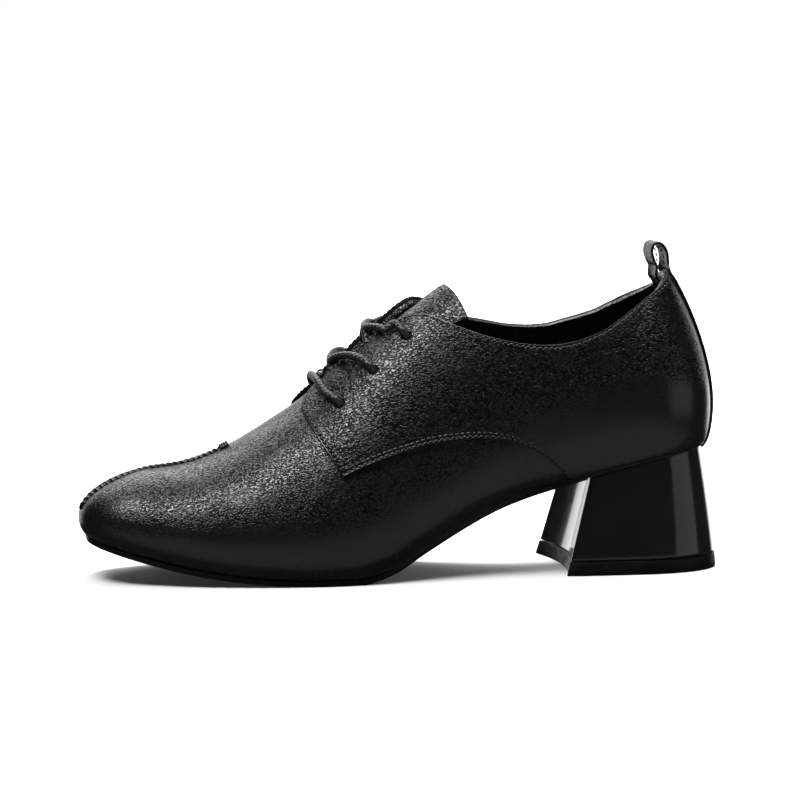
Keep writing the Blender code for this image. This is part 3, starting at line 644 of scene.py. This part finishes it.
def grained_leather(name, pebble, depth, rough, folded=False):
    """Milled leather: long pebbles between creases painted dark as shade, fading out low on the shoe.
    A folded piece dips along its stitch rows, which its second map places; the dips and the
    rim are painted dark as shade too."""
    made = Finish(name, (0.003, 0.003, 0.003), rough)
    spot = made.coordinates.outputs["Object"]
    drift = made.put("TexNoise", [("Vector", spot)], Scale=260.0, Detail=3.0)
    shift = made.put("VectorMath", [(0, drift.outputs["Color"])], operation="SCALE", Scale=0.0026)
    moved = made.put("VectorMath", [(0, spot), (1, shift.outputs[0])], operation="ADD")
    drawn = made.put("Mapping", [("Vector", moved.outputs[0])], Rotation=(0.0, 0.6, 0.0),
                     Scale=(0.58, 1.0, 1.1)).outputs[0]
    crease = creases(made, drawn, pebble)
    patches = made.noise(70.0, 3.0)
    milled = made.spread(patches, 0.30, 0.65, 0.65, 1.0)
    axes = made.put("SeparateXYZ", [(0, spot)]).outputs
    behind = made.spread(axes["X"], -0.13, 0.0, 0.0, 0.052)
    height = made.spread(made.math("SUBTRACT", axes["Z"], behind), 0.016, 0.027, 0.10, 1.0)
    # The crease mask dents the grain for the bump and also paints shade into the creases: darker and
    # less glossy.
    dent_and_shade = made.math("MULTIPLY", crease, made.math("MULTIPLY", milled, height))
    fine = made.math("MULTIPLY", made.noise(2600.0, 2.0), 0.04)
    swell = made.math("MULTIPLY", made.noise(200.0, 2.0), 0.7)
    relief = made.math("ADD", fine, swell)
    if folded:
        edges = made.put("SeparateXYZ", [(0, made.put("UVMap", uv_map="edges").outputs[0])]).outputs
        rim = made.math("MINIMUM", edges["X"], edges["Y"])
        fold = made.spread(rim, FOLD / 2, FOLD, 0.0, 1.0)
        dent_and_shade = made.math("MULTIPLY", dent_and_shade, fold)
        for axis, row in (("X", ROW_IN), ("Y", ROW_TOP)):
            off = made.math("ABSOLUTE", made.math("SUBTRACT", edges[axis], row), 0.0)
            dip = made.spread(off, 0.0, GROOVE, 1.0, 0.0)
            relief = made.math("SUBTRACT", relief, made.math("MULTIPLY", dip, GROOVE_DEPTH / depth))
            # Painted shade: the dip along each stitch row is also painted dark and less glossy.
            dent_and_shade = made.math("MAXIMUM", dent_and_shade, made.math("MULTIPLY", dip, 0.8))
        # Painted shade: a thin band along the cut rim is painted dark and less glossy.
        dent_and_shade = made.math("MAXIMUM", dent_and_shade, made.spread(rim, 0.0, FOLD / 4, 1.0, 0.0))
    made.bump(made.math("SUBTRACT", relief, dent_and_shade), depth)
    # Painted shade: less gloss in the creases, and on a folded piece in its dips and along its rim.
    made.feed("Specular IOR Level", made.spread(dent_and_shade, 0.0, 0.9, 0.60, 0.08))
    worn = made.math("ADD", made.spread(dent_and_shade, 0.0, 1.0, rough, rough + 0.2),
                     made.spread(patches, 0.3, 0.7, 0.04, -0.04))
    made.feed("Roughness", worn)
    # Painted shade: darker base colour in the creases, and on a folded piece in its dips and along its
    # rim.
    made.tones(dent_and_shade, (0.0030, 0.0030, 0.0031), (0.0010, 0.0010, 0.0010))
    return made.look


def soft_lining(name):
    """Matte lining with a short nap, a little olive."""
    made = Finish(name, (0.010, 0.010, 0.008), 0.85, Specular_IOR_Level=0.05)
    nap = made.noise(1500.0, 4.0)
    cloud = made.noise(60.0, 3.0)
    made.bump(made.math("ADD", nap, made.math("MULTIPLY", cloud, 0.6)), 0.00018)
    made.tones(made.spread(cloud, 0.35, 0.7, 0.0, 1.0), (0.009, 0.0088, 0.0070),
               (0.019, 0.0184, 0.0142))
    return made.look


def sewing_thread(name):
    made = Finish(name, (0.004, 0.004, 0.004), 0.25, Specular_IOR_Level=0.6)
    made.bump(made.noise(5200.0, 1.0), 0.00004)
    made.feed("Roughness", made.spread(made.noise(900.0), 0.3, 0.7, 0.16, 0.34))
    return made.look


def waxed_lace(name):
    """Round braid: yarns that wind both ways, over and under each other."""
    made = Finish(name, (0.006, 0.006, 0.006), 0.40, Specular_IOR_Level=0.5)
    uv = made.put("SeparateXYZ", [(0, made.coordinates.outputs["UV"])])
    round_way = made.math("MULTIPLY", uv.outputs["X"], 2 * math.pi * 6)
    long_way = made.math("MULTIPLY", uv.outputs["Y"], 4.2)
    left = made.math("SINE", made.math("ADD", round_way, long_way), 0.0)
    right = made.math("SINE", made.math("SUBTRACT", round_way, long_way), 0.0)
    braid = made.math("MAXIMUM", left, right)
    yarn = made.math("MULTIPLY", made.noise(4200.0), 0.5)
    made.bump(made.math("ADD", braid, yarn), 0.00010)
    made.feed("Roughness", made.spread(braid, -0.4, 1.0, 0.55, 0.32))
    # Painted shade: the hollows between the yarns are painted darker and the yarn crowns lighter.
    made.tones(made.spread(braid, -0.4, 1.0, 0.0, 1.0), (0.002, 0.002, 0.002),
               (0.008, 0.008, 0.008))
    return made.look


def lacquer(name):
    """High gloss on the heel block, with the faint waves of a dipped coat."""
    made = Finish(name, (0.003, 0.003, 0.003), 0.16, Coat_Weight=0.7, Coat_Roughness=0.10)
    made.bump(made.noise(45.0, 2.0), 0.00025, 0.35)
    made.feed("Roughness", made.spread(made.noise(120.0, 3.0), 0.3, 0.7, 0.13, 0.20))
    return made.look


def sole_edge(name, rough):
    made = Finish(name, (0.002, 0.002, 0.002), rough, Specular_IOR_Level=0.12)
    grain = made.put("Mapping", [("Vector", made.coordinates.outputs["Object"])],
                     Scale=(60.0, 60.0, 2400.0))
    lines = made.noise(1.0, 3.0, grain.outputs[0])
    scuff = made.noise(420.0, 3.0)
    made.bump(made.math("ADD", made.math("MULTIPLY", lines, 0.6), scuff), 0.00006)
    made.feed("Roughness", made.spread(scuff, 0.3, 0.7, rough - 0.08, rough + 0.12))
    made.tones(scuff, (0.0015, 0.0015, 0.0015), (0.0035, 0.0035, 0.0035))
    return made.look


vamp_leather = grained_leather("vamp_leather", 0.00062, 0.00008, 0.24)
tongue_leather = grained_leather("tongue_leather", 0.00072, 0.00010, 0.24)
quarter_leather = grained_leather("quarter_leather", 0.00072, 0.00010, 0.24, folded=True)
strap_leather = grained_leather("strap_leather", 0.00060, 0.00004, 0.28)
lining = soft_lining("lining")
thread = sewing_thread("thread")
braid = waxed_lace("braid")
heel_lacquer = lacquer("heel_lacquer")
sole_black = sole_edge("sole_black", 0.34)
rubber_black = sole_edge("rubber_black", 0.46)

# Stations along the shoe and levels up its side
ALONG = stations(0, (TOE_AXIS, 43), (THROAT_AT, 51), (0.400, 11), (THROAT_END, 29),
                 (HEEL_AXIS, 63), (1, 35))
UP = stations(-1, (0, 3), (1, 14), (2, 27))


def holes(side):
    """Rods where the eyelets of one facing are punched."""
    rods = []
    for at, out in zip(EYELETS_AT, EYELETS_OUT):
        low = lace_point(at, side * out, -2 * EYELET_DEPTH)
        high = lace_point(at, side * out, 2 * EYELET_DEPTH)
        axis = Vector(high - low)
        bpy.ops.mesh.primitive_cylinder_add(
            vertices=32, radius=EYELET / 2, depth=axis.length, location=Vector((low + high) / 2),
            rotation=Vector((0, 0, 1)).rotation_difference(axis).to_euler())
        rods.append(bpy.context.object)
    return joined(rods)


def lace_point(at, out, lift):
    """A point over the last, out from the middle to the inner side if out is positive."""
    side = -1 if out < 0 else 1
    at = np.array([at])
    return skin(at, level_of_width(at, side, abs(out)), side, lift)[0]


def punched(made, *sides):
    for side in sides:
        rods = holes(side)
        worked(made, "BOOLEAN", object=rods, operation="DIFFERENCE", solver="EXACT")
        bpy.data.objects.remove(rods)
    return made


def shell():
    """Vamp and counter with their lining, one skin from the toe to the back seam."""
    halves = []
    for side in (-1, 1):
        top = top_level(ALONG, side)[:, None]
        level = np.where(UP > 1, 1 + (UP - 1) * (top - 1), UP)
        at = np.broadcast_to(ALONG[:, None], level.shape)
        halves.append(laid("shell_half", skin(at, level, side), turned=side < 0))
    made = walled(welded(halves), WALL, -1, inner=1)
    made.name = "vamp_and_lining"
    return dressed(punched(made, -1, 1), (vamp_leather, lining), "leather", "upper")


def quarter_at(along, up, side, lift):
    """A point of the quarter: along from its front edge, up from its lower edge."""
    front = smooth(QUARTER_FRONT, up)
    at = front + along * (1 - QUARTER_SEAM - front)
    top = top_level(np.maximum(at, FACING_FRONT), side)
    low = low_level(at, side)
    return skin(at, low + up * (top - low), side, lift)


def quarter(name, side, node):
    """Quarter and facing in one, over the vamp."""
    up = np.linspace(0, 1, 46)
    along = stations(0, (0.30, 59), (0.80, 59), (1, 33))
    along, up = np.meshgrid(along, up, indexing="ij")
    points = quarter_at(along, up, side, 0.0002)
    made = laid(name, points, turned=side < 0)
    edges = made.data.uv_layers.new(name="edges").data
    rise = travelled(points, 1)
    run = travelled(points, 0)
    from_rim = np.minimum(rise, run).ravel()
    from_top = (rise[:, -1:] - rise).ravel()
    for loop in made.data.loops:
        edges[loop.index].uv = (from_rim[loop.vertex_index], from_top[loop.vertex_index])
    made = walled(made, OVERLAY_TOP - 0.0002, 1)
    return dressed(punched(made, side), quarter_leather, "leather", node)


def line_on_quarter(along, up, side):
    line = quarter_at(along, up, side, OVERLAY_TOP)
    return line, outward(line, quarter_at(along, up, side, OVERLAY_TOP + 0.001))


def share_in(edge, along, side, distance):
    """The share up the quarter at a distance in from its lower edge, 0, or its top edge, 1."""
    step = 0.04 - 0.08 * edge
    rim = quarter_at(along, 0 * along + edge, side, OVERLAY_TOP)
    inner = quarter_at(along, 0 * along + (edge + step), side, OVERLAY_TOP)
    return edge + step * distance / np.linalg.norm(inner - rim, axis=-1)


def quarter_stitches(name, side):
    """Two rows up from the lower edge, one along front, facing and collar, and a boxed tack
    in the lower front corner."""
    rows = []
    lower = np.linspace(0.012, 0.60, 240)
    for distance in (ROW_IN, ROW_IN + ROW_NEXT):
        rows.append(line_on_quarter(lower, share_in(0, lower, side, distance), side))
    up = np.linspace(0.03, 0.93, 90)
    front = 0 * up + ROW_IN / (LENGTH * 0.62)
    rows.append(line_on_quarter(front, up, side))
    top = np.linspace(0.014, 0.995, 330)
    rows.append(line_on_quarter(top, share_in(1, top, side, ROW_TOP), side))
    sewn(name, rows)
    (near, far), (under, over) = TACK_ALONG, TACK_UP
    upward = np.linspace(under, over, 20)
    across = np.linspace(near, far, 20)
    box = [line_on_quarter(0 * upward + near, upward, side),
           line_on_quarter(0 * upward + far, upward, side),
           line_on_quarter(across, 0 * across + under, side),
           line_on_quarter(across, 0 * across + over, side)]
    sewn(name + "_tack", box, TACK_STITCH, 0.95, TACK_THREAD)
    facing = np.linspace(0.010, 0.040, 40)
    line, normal = line_on_quarter(facing, share_in(1, facing, side, 0.0010), side)
    wound(name + "_knot", line, normal, (0.0006, 0.0014, 0.0022), 0.0014, 0.0008, WINDING)


def tongue():
    along = np.linspace(0, 1, 70)[:, None]
    halves = []
    for side in (-1, 1):
        across = np.linspace(1, 0, 22)
        at, level, flat = tongue_place(along, across, side)
        halves.append(laid("tongue_half", skin(at, level, side, -(WALL + TONGUE_GAP + flat)),
                           turned=side < 0))
    made = walled(welded(halves), TONGUE, -1, edge=0.0006, inner=1)
    made.name = "tongue_leather"
    return dressed(made, (tongue_leather, lining), "leather", "tongue")


def tongue_place(along, across, side):
    width = across * (TONGUE_FRONT_HALF + (TONGUE_TOP_HALF - TONGUE_FRONT_HALF) * along)
    top = TONGUE_TOP + TONGUE_SLOPE * across**1.5
    at = TONGUE_FRONT + along * (top - TONGUE_FRONT)
    middle = 1 - np.clip(width / TONGUE_FRONT_HALF, 0, 1)**2
    flat = TONGUE_FLAT * middle * (1 - ease(at, TONGUE_FLAT_END))
    return at, level_of_width(at, side, width), flat


def tongue_stitches():
    rows = []
    for side in (-1, 1):
        across = np.linspace(0.0, 0.90, 60)
        rows.append(line_on_tongue(0 * across + 0.955, across, side))
        along = np.linspace(0.40, 0.955, 60)
        rows.append(line_on_tongue(along, 0 * along + 0.90, side))
    return sewn("tongue_stitches", rows)


def line_on_tongue(along, across, side):
    at, level, flat = tongue_place(along, across, side)
    lift = -(WALL + TONGUE_GAP + flat)
    line = skin(at, level, side, lift)
    return line, outward(line, skin(at, level, side, lift + 0.001))


def seam_line(count):
    """The middle of the toe from its nose back over the vamp, and its normals."""
    nose = np.linspace(SEAM_NOSE, 2, 60)
    crown = np.linspace(TOE_AXIS, SEAM_END, 40)[1:]
    at = np.concatenate([0 * nose, crown])
    level = np.concatenate([nose, 0 * crown + 2])
    point = skin(at, level, -1)
    normal = (skin(at, level, -1, 0.001) - point) * 1000
    point[:, 1] = 0
    both = resampled(np.stack([point, point + normal], 1), count)
    return both[:, 0], outward(both[:, 0], both[:, 1])


def toe_seam():
    """The raised seam: a rounded ridge, whipped over with thread."""
    line, normal = seam_line(150)
    turn = np.linspace(-0.18 * math.pi, 1.18 * math.pi, 15)
    taper = np.minimum(1, (np.arange(len(line)) + 0.4) / 6)
    taper = np.minimum(taper, taper[::-1])
    rows = []
    for p, n, low in zip(line, normal, taper):
        rows.append([p + n * (SEAM_RISE * 0.82 * math.sin(t) * low - 0.0001)
                     + np.array([0, math.cos(t) * SEAM_HALF * 0.80 * (0.6 + 0.4 * low), 0])
                     for t in turn])
    made = laid("toe_seam_ridge", np.array(rows))
    rim = worked(made, "SOLIDIFY", thickness=0.0003, offset=-1, use_even_offset=False)
    return dressed(rim, vamp_leather, "leather", "toe_seam")


def wound(name, line, normal, spots, half, rise, radius, slant=0.0):
    """Threads over a line at the given runs along it, each an arch from side to side."""
    run = travelled(line)
    arch = [(slant * (t / math.pi - 0.5), half * math.cos(t), rise * math.sin(t))
            for t in HALF_TURN]
    shape = tube(name, arch, radius, around=8, count=18)
    frames = []
    for spot in spots:
        middle = spot_on(line, run, spot)
        up = spot_on(normal, run, spot)
        up /= np.linalg.norm(up)
        across = np.cross(up, spot_on(line, run, spot + 0.0002) - middle)
        across /= np.linalg.norm(across)
        frames.append((middle, (np.cross(across, up), across, up)))
    return dressed(copies(name, shape, frames), thread, "leather")


def whip_stitches():
    """The toe seam's slanted threads, each from one side of the ridge to the other."""
    line, normal = seam_line(1200)
    spots = np.arange(WHIP, travelled(line)[-1] - 0.003, WHIP)
    return wound("whip_stitches", line, normal, spots, SEAM_HALF * 1.02, SEAM_RISE * 0.62,
                 WINDING, 1.1 * WHIP)


def seam_knot():
    """The tack at the end of the toe seam: threads wound side by side across it."""
    line, normal = seam_line(1200)
    spots = [travelled(line)[-1] - 0.0009 * k - 0.0003 for k in range(4)]
    return wound("seam_knot", line, normal, spots, 0.0021, 0.0015, KNOT_THREAD)


def strap_rows(levels, lift):
    rows = []
    for level in levels:
        middle = place(section(np.array([1.0]), -1), np.array([level]))[0]
        far_out = middle[0] - to_x(HEEL_AXIS)
        row = []
        for share in STRAP_ACROSS:
            turn = math.asin(abs(share) * STRAP_HALF / far_out) / (math.pi / 2)
            at = 1 - (1 - HEEL_AXIS) * turn
            side = -1 if share < 0 else 1
            row.append(skin(np.array([at]), np.array([level]), side, lift)[0])
        rows.append(row)
    return rows


def strap_sheet():
    """Inner face of the back strap, from its foot over the loop to its tail inside."""
    top = float(top_level(1.0, -1))
    outside = strap_rows(np.linspace(STRAP_FOOT, top, 24), OVERLAY_TOP + STRAP_GAP)
    inside = strap_rows(np.linspace(top, top - STRAP_TAIL, 5), -(WALL + 2 * GAP))
    start = outside[-1]
    loop = []
    for along, rise, follow in LOOP:
        row = []
        for j in range(len(STRAP_ACROSS)):
            bow = (start[j][0] - start[2][0]) * follow
            row.append((start[2][0] + along * LOOP_HEIGHT + bow, STRAP_ACROSS[j] * STRAP_HALF,
                        start[2][2] + rise * LOOP_HEIGHT + bow * 0.5))
        loop.append(row)
    rows = resampled(np.array([*outside, *loop, *inside]), 220)
    return np.stack([resampled(row, 13) for row in rows])


def back_strap():
    made = walled(laid("strap_and_loop", strap_sheet()), STRAP, 1, edge=0.0003)
    return dressed(made, strap_leather, "leather", "back_strap")


def strap_stitches():
    sheet = strap_sheet()
    across = np.cross(np.gradient(sheet[:, 6], axis=0), sheet[:, 7] - sheet[:, 5])
    across /= np.linalg.norm(across, axis=1, keepdims=True)
    rows = [(sheet[:178, column] + across[:178] * STRAP, across[:178]) for column in (1, 11)]
    return sewn("strap_stitches", rows)


def facing_edge(at, side):
    return THROAT_HALF * float(smooth(THROAT, at, 1 if side < 0 else 2))


def lace_start(at, out):
    return [(at - forward, out - THROAT_HALF * inward, LACE_OVER * rise)
            for forward, inward, rise in LACE_START]


def lace_bar():
    at = EYELETS_AT[0]
    half = [*lace_start(at, EYELETS_OUT[0]), *[(at - forward, THROAT_HALF * wide, LACE_OVER)
                                               for forward, wide in LACE_BAR]]
    outer = [lace_point(a, -o, lift) for a, o, lift in half]
    inner = [lace_point(a, o, lift) for a, o, lift in half]
    middle = [lace_point(at - BAR_BOW, 0, LACE_OVER)]
    made = tube("lace_across", [*outer, *middle, *inner[::-1]], LACE / 2, around=18, count=120)
    return dressed(made, braid, "lace", "lace_bar")


def lace_crossing(name, k, node):
    """Two runs that cross over the tongue, each from an eyelet to under the far facing."""
    runs = []
    at = EYELETS_AT[k + 1]
    on, over, middle = CROSS_BACK
    under = EYELETS_AT[k] - CROSS_TUCK
    for side in (-1, 1):
        edge = facing_edge(at - over, side)
        far = facing_edge(under, -side)
        route = [*lace_start(at, EYELETS_OUT[k + 1]), (at - on, edge + LACE, LACE_OVER),
                 (at - over, edge, LACE_OVER), (at - middle, 0.0001, LACE_MIDDLE),
                 (under, -(far - LACE_CLEAR), LACE_LOW)]
        points = [lace_point(a, side * o, lift) for a, o, lift in route]
        runs.append(tube(name, points, LACE / 2, around=18, count=90))
    return dressed(joined(runs), braid, "lace", node)


def feather_outline(at, side, proud):
    """Half width of a piece that runs a given way beyond the feather line."""
    middle = TOE_REACH if at < 0.5 else HEEL_AXIS
    end = FEATHER_FRONT if at < 0.5 else FEATHER_BACK
    grown = abs(middle - end) + proud / LENGTH
    inside = middle + (at - middle) * abs(middle - end) / grown
    beyond = (at - middle) * (end - middle) > 0
    return half_width(inside if beyond else at, side, True) + proud


def plate(name, places, outline, low, high, edge):
    rings = []
    for at in places:
        x = to_x(at)
        outer = -outline(at, -1)
        inner = outline(at, 1)
        ys = (outer, 0.5 * outer, 0, 0.5 * inner, inner)
        rings.append([*[(x, y, low(at)) for y in ys], *[(x, y, high(at)) for y in ys[::-1]]])
    return rounded(lofted(name, rings), edge, 2, 50)


def outsole():
    def proud(at):
        return SOLE_PROUD - (SOLE_PROUD + WAIST_INSET) * ease(at, SOLE_DRAWN_IN)
    front = FEATHER_FRONT - SOLE_PROUD / LENGTH
    toe = [front + 0.1 * (k / 29)**2 + 0.0002 for k in range(30)]
    rest = np.linspace(toe[-1], BREAST_AT - GAP / LENGTH, 90)[1:]
    made = plate("outsole_leather", [*toe, *rest],
                 lambda at, side: float(feather_outline(at, side, proud(at))),
                 lambda at: float(tread_height(at)),
                 lambda at: float(tread_height(at) + sole_depth(at)), 0.00035)
    return dressed(made, sole_black, "sole", "outsole")


def insole():
    front = FEATHER_FRONT + INSOLE_INSET / LENGTH
    back = FEATHER_BACK - INSOLE_INSET / LENGTH
    toe = [front + 0.1 * (k / 24)**2 + 0.0003 for k in range(25)]
    heel = [back - 0.1 * (k / 24)**2 - 0.0003 for k in range(25)][::-1]
    middle = np.linspace(toe[-1], heel[0], 70)[1:-1]
    base = WALL + 2 * GAP
    made = plate("insole_sock", [*toe, *middle, *heel],
                 lambda at, side: float(feather_outline(at, side, -INSOLE_INSET)),
                 lambda at: float(feather_height(at) + base),
                 lambda at: float(feather_height(at) + base + INSOLE), 0.0005)
    return dressed(made, lining, "lining", "insole")


def heel_rings():
    """Points of the heel's outline at the seat and at the floor, in the same order."""
    back = FEATHER_BACK + HEEL_PROUD / LENGTH
    places = np.concatenate([np.linspace(BREAST_AT, HEEL_AXIS, 16),
                             HEEL_AXIS + (back - HEEL_AXIS)
                             * np.sin(np.linspace(0, math.pi / 2, 40)[1:])])
    half = np.array([float(feather_outline(min(at, back - 1e-6), 1, HEEL_PROUD))
                     for at in places])
    half[-1] = 0
    seat = [(to_x(at), y) for at, y in zip(places, half)]
    front = to_x(BREAST_AT)
    rear = to_x(back)
    deep = (rear + BACK_FLARE - front + BREAST_FLARE) / (rear - front)
    wide = (half[0] + SIDE_FLARE) / half[0]
    floor = [(front - BREAST_FLARE + (x - front) * deep, y * wide) for x, y in seat]
    rings = []
    for outline in (seat, floor):
        breast = [(outline[0][0] + BREAST_HOLLOW * (1 - t * t), -outline[0][1] * t)
                  for t in np.linspace(-1, 1, 25)[1:-1]]
        outer = [(x, -y) for x, y in outline[:-1]][::-1]
        rings.append([*outline, *outer, *breast[::-1]])
    return np.array(rings[0]), np.array(rings[1])


def heel_ring(height=None, share=None, proud=0.0):
    """The heel's outline at one height, or at one share of the way up to the seat."""
    seat, floor = heel_rings()
    seat_at = seat[:, 0] / LENGTH + ORIGIN_AT
    top = feather_height(seat_at) - GAP
    low = (TOP_PIECE + GAP) / top
    up = np.broadcast_to(height / top if share is None else low + share * (1 - low), top.shape)
    bulge = up**(1 + (HEEL_CURVE - 1) * ease(seat_at, HEEL_TURNS_ROUND))
    flat = floor + (seat - floor) * bulge[:, None]
    grow = 1 + proud / HALF_WIDTH
    return [(x * grow, y * grow, z) for (x, y), z in zip(flat, up * top)]


def heel_block():
    made = lofted("heel_gloss", [heel_ring(share=share) for share in np.linspace(0, 1, 24)])
    return dressed(rounded(made, 0.0005, 3, 38), heel_lacquer, "heel", "heel_block",
                   smooth_angle=30)


def top_piece():
    heights = (0.0, TOP_PIECE * 0.5, TOP_PIECE)
    made = lofted("heel_top_piece", [heel_ring(height=h, proud=TOP_PIECE_PROUD) for h in heights])
    return dressed(rounded(made, 0.0004, 2, 38), rubber_black, "rubber", "top_piece",
                   smooth_angle=30)


def area_light(name, location, target, size, power):
    lamp = bpy.data.lights.new(name, "AREA")
    lamp.shape = "RECTANGLE"
    lamp.size = size[0]
    lamp.size_y = size[1]
    lamp.energy = power
    made = added(name, lamp)
    made.location = location
    made.rotation_euler = (Vector(target) - Vector(location)).to_track_quat("-Z", "Y").to_euler()
    made.visible_camera = False
    return made


def studio():
    """Pale floor, white surroundings and soft lights."""
    bpy.ops.mesh.primitive_circle_add(vertices=96, radius=6, fill_type="NGON")
    floor = bpy.context.object
    floor.name = "floor"
    pale = Finish("pale_floor", (0.80, 0.80, 0.80), 0.9)
    pale.shader.inputs["Emission Color"].default_value = (1, 1, 1, 1)
    away = pale.put("VectorMath", [(0, pale.coordinates.outputs["Object"])], operation="LENGTH")
    pale.feed("Emission Strength", pale.spread(away.outputs["Value"], 0.45, 1.3, 0.02, 1.0))
    floor.data.materials.append(pale.look)
    floor.visible_glossy = False
    bpy.ops.object.select_all(action="DESELECT")
    world = bpy.data.worlds.new("studio")
    bpy.context.scene.world = world
    world.use_nodes = True
    tree = world.node_tree
    back = tree.nodes["Background"]
    back.inputs["Color"].default_value = (1, 1, 1, 1)
    path = tree.nodes.new("ShaderNodeLightPath")
    strength = tree.nodes.new("ShaderNodeMath")
    strength.operation = "MAXIMUM"
    strength.inputs[1].default_value = WORLD_FILL
    tree.links.new(path.outputs["Is Camera Ray"], strength.inputs[0])
    tree.links.new(strength.outputs[0], back.inputs["Strength"])
    top = area_light("top", (0.05, 0.65, 1.2), (-0.12, 0, 0.0), (0.5, 0.4), 38)
    top.visible_glossy = False
    area_light("key", (-0.60, -0.42, 1.2), (-0.15, 0, 0.05), (0.65, 0.6), 20)
    area_light("back_high", (-0.3, 1.6, 1.45), (-0.15, 0, 0.05), (1.4, 1.0), 24)
    area_light("back_low", (0.35, 1.7, 0.2), (-0.1, 0, 0.05), (2.5, 1.0), 13)
    area_light("right", (1.3, -0.7, 0.3), (0.0, 0, 0.05), (1.1, 1.0), 1.4)
    area_light("strip", (0.30, -0.05, 1.2), (0.0, 0, 0.05), (0.9, 0.3), 10)
    area_light("bounce", (-0.12, -0.34, 0.0008), (-0.12, -0.34, 1.0), (0.56, 0.58), 0.25)


def camera():
    eye = bpy.data.cameras.new("camera")
    eye.sensor_width = 36
    eye.lens = LENS
    made = added("camera", eye)
    made.location = CAMERA_AT
    made.rotation_euler = (CAMERA_AIM - made.location).to_track_quat("-Z", "Y").to_euler()
    bpy.context.scene.camera = made
    bpy.context.scene.view_settings.view_transform = "Standard"


camera()
studio()
shell()
quarter("outer_quarter", -1, "quarter_outer")
quarter("inner_quarter", 1, "quarter_inner")
quarter_stitches("outer_stitches", -1)
quarter_stitches("inner_stitches", 1)
tongue()
tongue_stitches()
toe_seam()
whip_stitches()
seam_knot()
back_strap()
strap_stitches()
lace_bar()
lace_crossing("lace_lower", 0, "lace_crossing_1")
lace_crossing("lace_upper", 1, "lace_crossing_2")
outsole()
insole()
heel_block()
top_piece()
